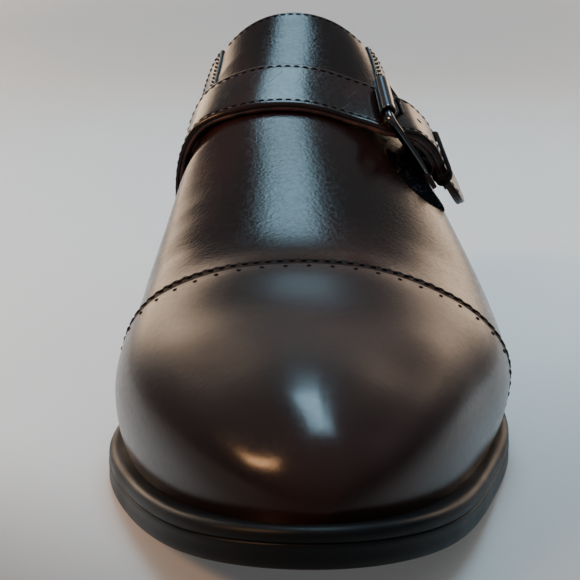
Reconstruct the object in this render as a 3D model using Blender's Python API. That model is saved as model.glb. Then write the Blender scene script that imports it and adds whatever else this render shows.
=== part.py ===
"""Left cap-toe slip-on dress shoe with one strap over the instep and a roller buckle.

Lengths are in millimetres and are scaled to metres where a mesh is made. A place on the shoe is given
by "along", the distance forward from the back of the heel, and by a girth angle: 0 degrees on the ridge
of the instep, 90 at the widest level of the side, positive on the lateral side, where the buckle is.
World axes: +X lateral, -Y toward the toe, +Z up. The sole stands on Z = 0.
"""

import math

import bmesh
import bpy
import numpy as np

MM = 0.001

# Driving dimensions of the last and of the upper
FEATHER_LENGTH = 292.0  # of the line where the upper meets the welt
TOE_START = 205.0  # from here the last closes toward its tip
TOE_POWER = 2.8  # a squarer or rounder toe
TOE_TURN = 4.0  # how far the tip bends to the medial side
HEEL_CENTRE = 55.0  # the back of the heel is swept round this station
HEEL_POWER = 2.3
WALL = 2.2
CAP_STEP = 0.7
QUARTER_STEP = 0.7

# World origin under the middle of the shoe's box
CENTRE_X = 0.44
CENTRE_ALONG = 148.25

# Sole stack
HEEL_RISE = 24.0
HEEL_BREAST = 74.0
HEEL_TAPER = 1.6
LIFT_HEIGHT = 6.0
RISE_START = 45.0
TREAD_START = 178.0
TREAD_END = 212.0
TOE_SPRING = 10.0
OUTSOLE = 5.0
WELT = 3.5
FOOTBED = 1.2  # top of the insole above the feather line
INSOLE_INSET = 4.0
GAP = 0.3  # between pieces that touch

# Seams and edges: places along the ridge, and how far each swings toward the heel at the widest level
TONGUE_TOP = 105.1
QUARTER_MEDIAL = 148.0
QUARTER_LATERAL = 121.0
CAP_SEAM = 212.4
SEAM = 0.8
QUARTER_ANGLE = 36.0  # girth angle of the quarters' upper edges beside the tongue
THROAT_ANGLE = QUARTER_ANGLE + SEAM / 2  # where the tongue's edge meets the topline

# Strap, buckle, keeper and tab
STRAP_MIDDLE = 140.6  # on the ridge
STRAP_EDGE = 0.45  # rounding of its edges
TAIL_ROUND = 64.0  # girth angles where the strap's end starts to round, and where it stops
TAIL_END = 71.5
SECOND_HOLE = 44.6  # girth angle of the free hole that shows
BUCKLE_FAR = (23.5, 131.4, 89.2)  # ends of its front bar, as (x, along, z)
BUCKLE_NEAR = (23.9, 155.7, 78.7)
REAR_BAR_END = (150.0, 52.2, 2.3)  # near end of its rear bar, as (along, girth, lift)
BAR_RADIUS = 1.25
REAR_BAR_RADIUS = 1.0
FRAME_DEPTH = 20.8
FRAME_CORNER = 2.6
FRAME_BOW = 0.2  # how far its side bars arch up
ROLLER_RADIUS = 2.25
ROLLER_LENGTH = 19.0
ROLLER_SHIFT = -1.0
PRONG_RADIUS = 0.6
PRONG_GAP = 0.2
PRONG_LINE = ((17.0, 1.55), (12.0, 1.5), (8.0, 1.6), (5.0, 1.7), (3.2, 1.8), (2.6, 1.8))  # (back, up)
HOLE_RADIUS = 1.0
LEAF = 0.7
TAB_WIDTH = 14.0
TAB_GIRTHS = (56.0, 59.0, 62.0)  # girth angles of its two joined ends
TAB_LIFT = (0.35, 1.5)
TAB_SLOT = 2.8
KEEPER_GIRTHS = (56.3, 60.5)
KEEPER_WALL = 0.9
KEEPER_LIFT = 2.3
KEEPER_ROUND = 1.5  # how far its round ends stand past the strap's edges

LAST_COLUMNS = "along medial lateral rise ridge_x crown bulge_medial bulge_lateral wide_height".split()
LAST_SECTIONS = (
    (0, 30.0, 31.0, 97.0, 0.0, 34.0, 2.0, 2.0, 18.0),
    (55, 30.0, 31.0, 97.0, 0.0, 34.0, 2.0, 2.0, 18.0),
    (90, 27.0, 34.0, 91.0, -1.0, 36.0, 5.0, 1.0, 19.5),
    (115, 26.0, 39.2, 81.7, -1.3, 43.0, 5.5, 1.0, 20.5),
    (140, 31.0, 43.5, 73.0, -5.6, 45.5, 3.0, 1.2, 23.5),
    (165, 39.6, 47.3, 62.5, -5.0, 46.0, 2.5, 2.0, 17.0),
    (190, 43.5, 47.4, 50.0, -5.0, 46.0, 2.5, 2.5, 13.0),
    (215, 45.5, 43.5, 41.0, -4.0, 47.0, 2.0, 2.5, 12.0),
    (240, 42.0, 36.5, 35.0, -3.5, 45.0, 1.5, 1.5, 11.0),
    (262, 37.5, 32.0, 33.0, -2.0, 41.0, 0.5, 0.5, 9.0),
    (292, 31.0, 26.0, 32.0, 0.0, 36.0, 0.0, 0.0, 6.0),
)

SWING_COLUMNS = "along medial lateral rake".split()
SWINGS = (
    (0, 0.0, 0.0, 0.0),
    (55, 0.0, 0.0, 0.0),
    (105, -3.5, -7.7, -6.0),
    (148, -11.4, -9.0, -14.0),
    (180, -11.4, -7.0, -8.0),
    (212, -11.0, -5.0, 0.0),
    (250, -4.0, -2.0, 0.0),
    (292, 0.0, 0.0, 0.0),
)

# Topline from the throat to the back of the heel: girth angle of the edge
TOPLINE_COLUMNS = "along angle".split()
TOPLINE = (
    (0, 62.0),
    (25, 67.5),
    (45, 71.0),
    (60, 72.0),
    (72, 71.0),
    (84, 67.5),
    (93, 61.5),
    (99, 53.5),
    (103, 44.0),
    (105, THROAT_ANGLE),
)

# Back of the heel: its place along the shoe at a height above the feather line
HEEL_BACK_COLUMNS = "height along".split()
HEEL_BACK = ((0, 2.0), (20, -1.0), (40, 1.0), (62, 6.5))

# Strap by girth angle: its underside above the last, how much higher its front edge rides than its rear one,
# its thickness, its middle's shift along the shoe, and its width along the shoe
STRAP_COLUMNS = "girth lift tilt thickness shift width".split()
STRAP_PATH = (
    (-84, 1.3, 0.0, 1.5, -12.4, 17.4),
    (-70, 1.3, 0.0, 2.4, -11.0, 17.4),
    (-56, 1.3, 0.0, 2.6, -8.8, 17.4),
    (-44, 1.2, 0.0, 2.6, -6.5, 17.4),
    (-34, 1.2, 0.0, 2.6, -4.6, 17.5),
    (-22, 0.5, 0.0, 2.6, -2.6, 17.6),
    (-11, 0.4, 0.0, 2.6, -1.4, 17.7),
    (0, 0.4, 0.0, 2.6, -1.1, 17.8),
    (10, 0.4, 0.0, 2.6, -1.2, 17.8),
    (18, 0.5, 0.0, 2.6, -1.1, 17.9),
    (25, 1.3, 0.2, 2.6, -0.5, 18.6),
    (30, 2.6, 0.7, 2.6, 0.4, 19.6),
    (34, 3.7, 1.3, 2.6, 1.2, 20.4),
    (38, 5.1, 2.0, 2.7, 1.1, 20.2),
    (41.5, 6.1, 2.2, 2.8, 0.7, 19.7),
    (45, 6.2, 2.1, 2.8, -0.3, 19.4),
    (49, 5.9, 1.6, 2.8, -1.5, 19.2),
    (53, 5.25, 0.8, 2.7, -2.7, 19.0),
    (57, 4.5, 0.0, 2.4, -3.9, 18.8),
    (61, 4.15, -1.0, 2.1, -4.9, 18.4),
    (65, 4.4, -2.0, 2.0, -5.7, 18.2),
    (69, 4.9, -2.9, 2.0, -6.4, 18.2),
    (72, 5.3, -3.5, 2.0, -6.9, 18.2),
)

# Margin of the sole outside the feather line
MARGIN_COLUMNS = "along medial lateral".split()
MARGINS = (
    (0, 2.5, 2.5),
    (60, 2.5, 2.5),
    (120, 2.5, 2.5),
    (170, 3.0, 3.0),
    (205, 4.4, 3.5),
    (240, 4.9, 4.4),
    (265, 5.8, 5.6),
    (282, 6.6, 6.6),
    (292, 6.2, 6.2),
)

# Front edge of the elastic gore below the buckle
GORE_COLUMNS = "girth front".split()
GORE_EDGE = ((38, 157.0), (41, 161.5), (46, 164.5), (52, 163.0), (57, 159.0), (62, 153.5), (66, 149.5))
GORE_REAR = 148.6
GORE = 0.9

MATERIALS = {
    "leather_dark": ((0.022, 0.010, 0.008), 0.18, 0.0),
    "leather_edge": ((0.045, 0.016, 0.010), 0.35, 0.0),
    "rubber_black": ((0.012, 0.012, 0.013), 0.45, 0.0),
    "insole_leather": ((0.30, 0.20, 0.12), 0.6, 0.0),
    "elastic_black": ((0.010, 0.010, 0.010), 0.8, 0.0),
    "gunmetal": ((0.10, 0.10, 0.11), 0.25, 1.0),
}


# ---------------------------------------------------------------- curves and the last


def spline(table, column):
    """Natural cubic spline through one column of a table whose first column is the place."""
    rows = np.array(table, float)
    xs, ys = rows[:, 0], rows[:, column]
    step = np.diff(xs)
    count = len(xs)
    matrix = np.eye(count)
    right = np.zeros(count)
    for i in range(1, count - 1):
        matrix[i, i - 1 : i + 2] = step[i - 1], 2 * (step[i - 1] + step[i]), step[i]
        right[i] = 6 * ((ys[i + 1] - ys[i]) / step[i] - (ys[i] - ys[i - 1]) / step[i - 1])
    bend = np.linalg.solve(matrix, right)

    def curve(x):
        k = int(np.clip(np.searchsorted(xs, x) - 1, 0, count - 2))
        a = (xs[k + 1] - x) / step[k]
        b = 1 - a
        cubic = ((a**3 - a) * bend[k] + (b**3 - b) * bend[k + 1]) * step[k] ** 2 / 6
        return a * ys[k] + b * ys[k + 1] + cubic

    return curve


def curves(columns, table):
    return {name: spline(table, i) for i, name in enumerate(columns) if i}


LAST = curves(LAST_COLUMNS, LAST_SECTIONS)
SWING = curves(SWING_COLUMNS, SWINGS)
TOPLINE_ANGLE = curves(TOPLINE_COLUMNS, TOPLINE)["angle"]
HEEL_BACK_ALONG = curves(HEEL_BACK_COLUMNS, HEEL_BACK)["along"]
STRAP = curves(STRAP_COLUMNS, STRAP_PATH)
MARGIN = curves(MARGIN_COLUMNS, MARGINS)
GORE_FRONT = curves(GORE_COLUMNS, GORE_EDGE)["front"]


def smooth(x):
    x = min(max(x, 0.0), 1.0)
    return x**3 * (10 - 15 * x + 6 * x * x)


def closing(along):
    """1 along the shoe, falling to 0 at the tip of the toe, with the round outline of the toe."""
    reach = min(max((along - TOE_START) / (FEATHER_LENGTH - TOE_START), 0.0), 1.0)
    return math.sqrt(1 - reach**TOE_POWER)


def sole_bottom(along):
    """Underside of the outsole: up over the heel, flat at the tread, up again at the toe."""
    heel = HEEL_RISE * (1 - smooth((along - RISE_START) / (TREAD_START - RISE_START)))
    spring = TOE_SPRING * max((along - TREAD_END) / (FEATHER_LENGTH - TREAD_END), 0.0) ** 2
    return heel + spring


def feather(along):
    return sole_bottom(along) + OUTSOLE + WELT


def axis_x(along):
    return -TOE_TURN * max((along - 200) / (FEATHER_LENGTH - 200), 0.0) ** 2


def last_half(along, side, angle=90, height=None):
    """(x, z) of the last in the upright section at along, at a girth angle of one side. Below the widest
    level the height replaces the angle: 0 at the feather line, 1 at the widest level."""
    close = closing(along)
    name = "lateral" if side > 0 else "medial"
    ridge_x = LAST["ridge_x"](along) * close
    edge = (LAST[name](along) + LAST["bulge_" + name](along)) * close
    half = edge - side * ridge_x
    wide = LAST["wide_height"](along) * close
    middle = axis_x(along) + ridge_x
    if height is not None:
        share = 1 - height
        inward = LAST["bulge_" + name](along) * close * share**2
        return middle + side * (half - inward), feather(along) + wide * height
    psi = math.radians(angle)
    fullness = min(max(LAST["crown"](along) * close / max(half, 1e-6) - 1, -0.45), 0.45)
    x = half * math.sin(psi) * (1 + fullness * math.cos(psi) ** 2)
    rise = LAST["rise"](along) * close - wide
    return middle + side * x, feather(along) + wide + rise * math.cos(psi)


def last_point(along, girth):
    """(x, along, z) of the last at a signed girth angle."""
    x, z = last_half(along, 1 if girth >= 0 else -1, abs(girth))
    return np.array([x, along, z])


def over_last(along, girth, lift):
    """The point that is lift above the last, square to its upright section."""
    before = last_point(along, girth - 0.5)
    after = last_point(along, girth + 0.5)
    run = after - before
    normal = np.array([-run[2], 0.0, run[0]])
    return last_point(along, girth) + lift * normal / np.linalg.norm(normal)


def swung(along, side, angle, height=None):
    """Place along the shoe of a seam line that starts at along on the ridge."""
    name = "lateral" if side > 0 else "medial"
    place = along + SWING[name](along) * (math.sin(math.radians(angle)) ** 2 if height is None else 1)
    if height is not None:
        place += SWING["rake"](along) * smooth(1 - height)
    return place


# ---------------------------------------------------------------- meshes and materials


def world(point):
    x, along, z = point
    return ((x - CENTRE_X) * MM, (CENTRE_ALONG - along) * MM, z * MM)


def material(name):
    colour, roughness, metallic = MATERIALS[name]
    made = bpy.data.materials.get(name) or bpy.data.materials.new(name)
    made.use_nodes = True
    shader = made.node_tree.nodes["Principled BSDF"]
    shader.inputs["Base Color"].default_value = (*colour, 1.0)
    shader.inputs["Roughness"].default_value = roughness
    shader.inputs["Metallic"].default_value = metallic
    return made


def solid(name, points, faces, finish):
    """One object from points in millimetres, with its faces turned outward."""
    mesh = bpy.data.meshes.new(name)
    mesh.from_pydata([world(point) for point in points], [], faces)
    body = bmesh.new()
    body.from_mesh(mesh)
    bmesh.ops.recalc_face_normals(body, faces=body.faces)
    body.to_mesh(mesh)
    body.free()
    mesh.shade_smooth()
    mesh.set_sharp_from_angle(angle=math.radians(35))
    made = bpy.data.objects.new(name, mesh)
    mesh.materials.append(material(finish))
    bpy.context.scene.collection.objects.link(made)
    return made


def slab(name, lower, upper, finish):
    """A closed solid between two grids of points with the same rows and columns."""
    lower, upper = np.array(lower), np.array(upper)
    rows, columns = lower.shape[:2]
    points = np.concatenate([lower.reshape(-1, 3), upper.reshape(-1, 3)])
    top = rows * columns

    def at(row, column, layer):
        return layer * top + row * columns + column

    faces = []
    for row in range(rows - 1):
        for column in range(columns - 1):
            for layer in (0, 1):
                corners = ((row, column), (row, column + 1), (row + 1, column + 1), (row + 1, column))
                loop = [at(*corner, layer) for corner in corners]
                faces.append(loop if layer else loop[::-1])
    border = [(0, column) for column in range(columns - 1)]
    border += [(row, columns - 1) for row in range(rows - 1)]
    border += [(rows - 1, column) for column in range(columns - 1, 0, -1)]
    border += [(row, 0) for row in range(rows - 1, 0, -1)]
    for here, after in zip(border, border[1:] + border[:1]):
        faces.append([at(*here, 0), at(*after, 0), at(*after, 1), at(*here, 1)])
    return solid(name, points, faces, finish)


def stack(name, loops, finish, ring=False, rungs=None):
    """Loops of the same length joined one above the other, then capped, or joined into a ring."""
    count = len(loops[0])
    points = np.concatenate(loops)
    faces = []
    pairs = list(zip(range(len(loops) - 1), range(1, len(loops))))
    if ring:
        pairs.append((len(loops) - 1, 0))
    for low, high in pairs:
        for i in range(count):
            j = (i + 1) % count
            faces.append([low * count + i, low * count + j, high * count + j, high * count + i])
    if not ring:
        for level in (0, len(loops) - 1):
            faces += (rungs or ladder)(level * count, count)
    return solid(name, points, faces, finish)


def ladder(start, count):
    """A cap whose rungs join each point of the loop to the one across from it."""
    faces = [[start, start + 1, start + count - 1]]
    for i in range(1, count // 2 - 1):
        faces.append([start + i, start + i + 1, start + count - i - 1, start + count - i])
    half = start + count // 2
    faces.append([half - 1, half, half + 1])
    return faces


def tube(name, path, radius, sides, finish, normal, closed=False):
    """A round bar swept along a path whose sections stay square to it."""
    path = np.array(path)
    count = len(path)
    rings = []
    for i, point in enumerate(path):
        ahead = path[(i + 1) % count] if closed or i < count - 1 else point
        behind = path[i - 1] if closed or i else point
        run = (ahead - behind) / np.linalg.norm(ahead - behind)
        across = np.cross(run, normal)
        across /= np.linalg.norm(across)
        up = np.cross(across, run)
        turns = np.arange(sides) * 2 * math.pi / sides
        size = radius[i] if np.ndim(radius) else radius
        rings.append(point + size * (np.outer(np.cos(turns), across) + np.outer(np.sin(turns), up)))
    points = np.concatenate(rings)
    faces = []
    for i in range(count if closed else count - 1):
        for side in range(sides):
            here, after = i * sides, (i + 1) % count * sides
            turn = (side + 1) % sides
            faces.append([here + side, here + turn, after + turn, after + side])
    if not closed:
        faces.append(list(range(sides)))
        faces.append(list(range((count - 1) * sides, count * sides)))
    return solid(name, points, faces, finish)


# ---------------------------------------------------------------- sole


def toe_stations(turns):
    """Places along the shoe that divide the round of the toe evenly, from turns in degrees, 0 at the tip."""
    reach = FEATHER_LENGTH - TOE_START
    return [TOE_START + reach * math.cos(math.radians(turn)) ** (2 / TOE_POWER) for turn in turns]


def heel_edge(turn, side):
    """Feather line round the heel: turn is 0 at the heel's centre station and 90 degrees at its back."""
    x, _ = last_half(HEEL_CENTRE, side, height=0.0)
    reach = HEEL_CENTRE - HEEL_BACK_ALONG(0)
    power = 2 / HEEL_POWER
    return x * max(math.cos(turn), 0.0) ** power, HEEL_CENTRE - reach * math.sin(turn) ** power


def outline():
    """Feather line as (x, along), from the toe's tip along the lateral side to the heel and back along the
    medial side, with its outward directions. Point i lies across from point count - i."""
    alongs = toe_stations((0, 9, 18, 28, 38, 49, 60, 72))
    alongs += [TREAD_END, 201, 190, TREAD_START, 166, 154, 142, 130, 118, 106, 94, 84, HEEL_BREAST, 64]
    turns = [math.radians(turn) for turn in (0, 12, 24, 36, 48, 60, 70, 80)]
    halves = []
    for side in (1, -1):
        half = [(last_half(along, side, height=0.0)[0], along) for along in alongs]
        halves.append(half + [heel_edge(turn, side) for turn in turns])
    loop = np.array(halves[0] + [heel_edge(math.pi / 2, 1)] + halves[1][:0:-1])
    run = np.roll(loop, -1, axis=0) - np.roll(loop, 1, axis=0)
    out = np.stack([-run[:, 1], run[:, 0]], axis=1)
    return loop, out / np.linalg.norm(out, axis=1)[:, None]


def moved(loop, out, distance, inset):
    """The outline moved outward by the sole's margin less an inset, or by one distance all round."""
    half = len(loop) // 2
    points = []
    for i, (point, direction) in enumerate(zip(loop, out)):
        lateral = MARGIN["lateral"](point[1])
        medial = MARGIN["medial"](point[1])
        margin = lateral if 0 < i < half else medial if i > half else (lateral + medial) / 2
        points.append(point + direction * ((margin if distance is None else distance) - inset))
    return points


def sole_loop(outline_points, height):
    return [(x, along, sole_bottom(along) + height) for x, along in outline_points]


def build_outsole(loop, out):
    top = OUTSOLE
    levels = ((0.8, 0.0), (0.2, 0.5), (0.0, 1.3), (0.0, top - 1.2), (0.4, top - 0.4), (1.1, top))
    loops = [sole_loop(moved(loop, out, None, inset), height) for inset, height in levels]
    return stack("outsole", loops, "rubber_black")


def build_welt(loop, out):
    """A ring with a rounded edge under the wall of the upper."""
    low, high = OUTSOLE + GAP, OUTSOLE + WELT - GAP
    levels = ((1.0, low), (0.35, low + 0.5), (0.15, (low + high) / 2), (0.5, high - 0.6), (1.4, high))
    loops = [sole_loop(moved(loop, out, None, inset), height) for inset, height in levels]
    loops += [sole_loop(moved(loop, out, -INSOLE_INSET + GAP, 0), height) for height in (high, low)]
    return stack("welt", loops, "rubber_black", ring=True)


def build_insole(loop, out):
    """Board and sock inside the welt, up to the level that the foot stands on."""
    top = OUTSOLE + WELT + FOOTBED
    levels = ((0.0, OUTSOLE + GAP), (0.0, top - 0.6), (0.8, top))
    loops = [sole_loop(moved(loop, out, -INSOLE_INSET, inset), height) for inset, height in levels]
    return stack("insole", loops, "insole_leather")


def build_heel(loop, out):
    """Block with a flat breast, a little narrower at the ground, and a groove above its top lift."""
    levels = (
        (HEEL_TAPER + 0.6, 0.0),
        (HEEL_TAPER, 0.6),
        (HEEL_TAPER - 0.1, LIFT_HEIGHT - 0.5),
        (HEEL_TAPER + 0.4, LIFT_HEIGHT),
        (HEEL_TAPER - 0.1, LIFT_HEIGHT + 0.5),
        (0.3, HEEL_RISE - 4.0),
        (0.3, None),
    )
    chosen = [i for i, point in enumerate(loop) if point[1] <= HEEL_BREAST + 0.01]
    loops = []
    for inset, height in levels:
        points = moved(loop, out, None, inset)
        level = []
        for i in chosen:
            x, along = points[i][0], min(points[i][1], HEEL_BREAST)
            level.append((x, along, sole_bottom(along) - GAP if height is None else height))
        loops.append(level)
    return stack("heel", loops, "rubber_black", rungs=across_breast)


def across_breast(start, count):
    """A cap for the heel, whose loop starts and ends at the two sides of the breast."""
    faces = []
    for i in range(count // 2):
        j = count - 1 - i
        faces.append(list(dict.fromkeys([start + i, start + i + 1, start + j - 1, start + j])))
    return faces


# ---------------------------------------------------------------- upper


def upper_rows():
    """Rows of the upper from the back of the heel to the toe: (place along the ridge, turn round the heel)."""
    rows = [(HEEL_CENTRE, math.radians(turn)) for turn in (90, 80, 70, 60, 48, 36, 24, 12)]
    alongs = [HEEL_CENTRE, 65, 75, 84, 92, 99, TONGUE_TOP, 112]
    alongs += [QUARTER_LATERAL - SEAM / 2, QUARTER_LATERAL + SEAM / 2, 130, 139]
    alongs += [QUARTER_MEDIAL - SEAM / 2, QUARTER_MEDIAL + SEAM / 2, 156, 165, 174, 183, 192, 202]
    alongs += [CAP_SEAM - SEAM / 2, CAP_SEAM + SEAM / 2]
    alongs += toe_stations((72, 62, 53, 44, 36, 28, 20, 13, 6, 0))
    return rows + [(along, 0.0) for along in alongs]


def upper_columns():
    """Columns from the feather line to the throat, then to the ridge: (share of the height of the widest
    level, None) below that level, (None, girth angle) above it."""
    side = [(height, None) for height in (0.0, 0.35, 0.7)]
    side += [(None, angle) for angle in (90, 82, 74, 66, 58, 51, 44, THROAT_ANGLE)]
    crown = [(None, angle) for angle in (QUARTER_ANGLE - SEAM / 2, 30, 24, 18, 12, 6, 0)]
    return side, crown


def heel_place(turn):
    return HEEL_CENTRE * (1 - math.sin(turn) ** (2 / HEEL_POWER))


def upper_point(row, column, side):
    along, turn = row
    height, angle = column
    if height is None and along < TONGUE_TOP:
        edge = TOPLINE_ANGLE(heel_place(turn) if turn else along)
        angle = 90 - (90 - angle) * (90 - edge) / (90 - THROAT_ANGLE)
    along = swung(along, side, angle, height)
    x, z = last_half(along, side, angle, height)
    if not turn:
        return np.array([x, along, z])
    reach = HEEL_CENTRE - HEEL_BACK_ALONG(z - feather(HEEL_CENTRE))
    power = 2 / HEEL_POWER
    return np.array([x * max(math.cos(turn), 0.0) ** power, HEEL_CENTRE - reach * math.sin(turn) ** power, z])


def wall_step(row, column, side):
    """How far the toe cap and the quarters stand out from the vamp."""
    along = row[0]
    if along > CAP_SEAM:
        return CAP_STEP
    quarter = QUARTER_LATERAL if side > 0 else QUARTER_MEDIAL
    beside = along < TONGUE_TOP or column[1] is None or column[1] > QUARTER_ANGLE
    return QUARTER_STEP if beside and along < quarter else 0.0


def build_upper():
    """One shell: the last's surface with its overlaps outside, and the same surface WALL further in."""
    rows = upper_rows()
    side_columns, crown_columns = upper_columns()
    columns = side_columns + crown_columns
    ids, points, steps, low, faces = {}, [], [], [], []

    def vertex(r, c, side):
        tip = r == len(rows) - 1
        shared = r == 0 or tip or c == len(columns) - 1
        key = (r, 0 if tip else c, 0 if shared else side)
        if key not in ids:
            ids[key] = len(points)
            points.append(upper_point(rows[r], columns[c], side))
            steps.append(wall_step(rows[r], columns[c], side))
            low.append(c == 0 or tip)
        return ids[key]

    for side in (1, -1):
        for r in range(len(rows) - 1):
            closed = rows[r][0] >= TONGUE_TOP
            for c in range(len(columns) - 1 if closed else len(side_columns) - 1):
                corners = ((r, c), (r + 1, c), (r + 1, c + 1), (r, c + 1))
                face = list(dict.fromkeys(vertex(*corner, side) for corner in corners))
                faces.append(face if side > 0 else face[::-1])
    points = np.array(points)
    normals = outward(points, faces)
    normals[low, 2] = 0.0
    normals /= np.linalg.norm(normals, axis=1)[:, None]
    shell = np.concatenate([points + np.array(steps)[:, None] * normals, points - WALL * normals])
    count = len(points)
    both = faces + [[i + count for i in face[::-1]] for face in faces]
    both += [[a, b, b + count, a + count] for a, b in border_edges(faces)]
    return solid("upper", shell, both, "leather_dark")


def outward(points, faces):
    """Directions square to an open surface at its points, away from the inside of the shoe."""
    total = np.zeros_like(points)
    for face in faces:
        first, last = points[face[2]] - points[face[0]], points[face[-1]] - points[face[1]]
        total[face] += np.cross(first, last)
    total /= np.linalg.norm(total, axis=1)[:, None]
    return total if total[:, 2].mean() > 0 else -total


def border_edges(faces):
    """Edges used by one face only, each turned against that face."""
    used = {edge for face in faces for edge in zip(face, face[1:] + face[:1])}
    return [(b, a) for a, b in used if (b, a) not in used]


# ---------------------------------------------------------------- strap and gore


def strap_point(girth, share, height):
    """A point of the strap: share runs across it from the rear edge 0 to the front edge 1, and height is
    above its underside."""
    lift = STRAP["lift"](girth) + STRAP["tilt"](girth) * (share - 0.5)
    return over_last(strap_along(girth, share), girth, lift + height)


def strap_along(girth, share):
    return STRAP_MIDDLE + STRAP["shift"](girth) + (share - 0.5) * STRAP["width"](girth)


def build_strap():
    girths = [-84, -78, -71, -64, -56, -48, -40, -31, -22, -13, -4, 5, 13, 20, 25, 29, 33, 37, 41, 45, 49]
    girths += [53, 56.5, 60, 63.5, 66.5, 69, 70.5, 71.2]
    lower, upper = [], []
    for girth in girths:
        end = max((girth - TAIL_ROUND) / (TAIL_END - TAIL_ROUND), (-80 - girth) / 5, 0.0)
        narrow = math.sqrt(1 - end**2)
        shares = [0.5 + (share - 0.5) * narrow for share in (0, 0.05, 0.25, 0.5, 0.75, 0.95, 1)]
        thickness = STRAP["thickness"](girth)
        heights = [thickness - (STRAP_EDGE if share in (shares[0], shares[-1]) else 0.0) for share in shares]
        lower.append([strap_point(girth, share, 0.0) for share in shares])
        upper.append([strap_point(girth, share, height) for share, height in zip(shares, heights)])
    return slab("strap", lower, upper, "leather_dark")


def build_gore():
    """Elastic patch on the vamp, in front of the tab."""
    lower, upper = [], []
    for girth in (38, 41, 44, 47, 50, 53, 56, 59, 62, 65):
        front = GORE_FRONT(girth)
        places = [GORE_REAR + (front - GORE_REAR) * share for share in (0, 0.25, 0.5, 0.75, 0.95, 1)]
        heights = [GAP + GORE * share for share in (1, 1, 1, 1, 1, 0.4)]
        lower.append([over_last(place, girth, GAP) for place in places])
        upper.append([over_last(place, girth, height) for place, height in zip(places, heights)])
    return slab("gore", lower, upper, "elastic_black")


# ---------------------------------------------------------------- buckle, tab and keeper


class Buckle:
    """The buckle's own axes: across it along its bars, back from roller to rear bar, and up out of it."""

    def __init__(self):
        far, near = np.array(BUCKLE_FAR), np.array(BUCKLE_NEAR)
        self.middle = (far + near) / 2
        self.width = np.linalg.norm(near - far)
        self.across = (near - far) / self.width
        down = over_last(*REAR_BAR_END) - near
        down -= self.across * (down @ self.across)
        self.back = down / np.linalg.norm(down)
        self.up = np.cross(self.across, self.back)
        if self.up[2] < 0:
            self.up = -self.up

    def point(self, across, back, up=0.0):
        return self.middle + self.across * across + self.back * back + self.up * up


def build_frame(buckle):
    """Bar bent to a rectangle with round corners, its two sides arched."""
    wide, deep = buckle.width / 2 - FRAME_CORNER, FRAME_DEPTH - FRAME_CORNER
    corners = ((wide, FRAME_CORNER, -90), (wide, deep, 0), (-wide, deep, 90), (-wide, FRAME_CORNER, 180))
    path, radii = [], []
    for number, (across, back, start) in enumerate(corners):
        for turn in (0, 22.5, 45, 67.5, 90):
            angle = math.radians(start + turn)
            reach = back + FRAME_CORNER * math.sin(angle)
            arch = FRAME_BOW * math.sin(math.pi * reach / FRAME_DEPTH)
            path.append(buckle.point(across + FRAME_CORNER * math.cos(angle), reach, arch))
            radii.append(BAR_RADIUS + (REAR_BAR_RADIUS - BAR_RADIUS) * smooth(reach / FRAME_DEPTH * 3 - 2))
        if number in (0, 2):
            for share in (0.25, 0.5, 0.75):
                reach = FRAME_CORNER + (deep - FRAME_CORNER) * (share if number == 0 else 1 - share)
                arch = FRAME_BOW * math.sin(math.pi * reach / FRAME_DEPTH)
                side = buckle.width / 2 * (1 if number == 0 else -1)
                path.append(buckle.point(side, reach, arch))
                radii.append(BAR_RADIUS + (REAR_BAR_RADIUS - BAR_RADIUS) * smooth(reach / FRAME_DEPTH * 3 - 2))
    return tube("buckle_frame", path, radii, 10, "gunmetal", buckle.up, closed=True)


def build_roller(buckle):
    """Loose tube on the front bar."""
    bore = BAR_RADIUS + GAP
    bevel = 0.3
    start, end = ROLLER_SHIFT - ROLLER_LENGTH / 2, ROLLER_SHIFT + ROLLER_LENGTH / 2
    profile = (
        (bore, start),
        (ROLLER_RADIUS - bevel, start),
        (ROLLER_RADIUS, start + bevel),
        (ROLLER_RADIUS, end - bevel),
        (ROLLER_RADIUS - bevel, end),
        (bore, end),
    )
    turns = np.arange(20) * 2 * math.pi / 20
    ring = np.outer(np.cos(turns), buckle.up) + np.outer(np.sin(turns), buckle.back)
    loops = [buckle.point(across, 0) + radius * ring for radius, across in profile]
    return stack("roller", loops, "gunmetal", ring=True)


def build_prong(buckle):
    """From its eye round the rear bar, through the strap, to rest behind the top of the roller."""
    eye = REAR_BAR_RADIUS + PRONG_GAP + PRONG_RADIUS
    path = []
    for turn in range(-170, 91, 26):
        angle = math.radians(turn)
        path.append(buckle.point(0, FRAME_DEPTH + eye * math.cos(angle), eye * math.sin(angle)))
    path += [buckle.point(0, back, up) for back, up in PRONG_LINE]
    radii = [PRONG_RADIUS] * (len(path) - 2) + [PRONG_RADIUS * 0.85, PRONG_RADIUS * 0.4]
    return tube("prong", path, radii, 8, "gunmetal", buckle.across)


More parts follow.
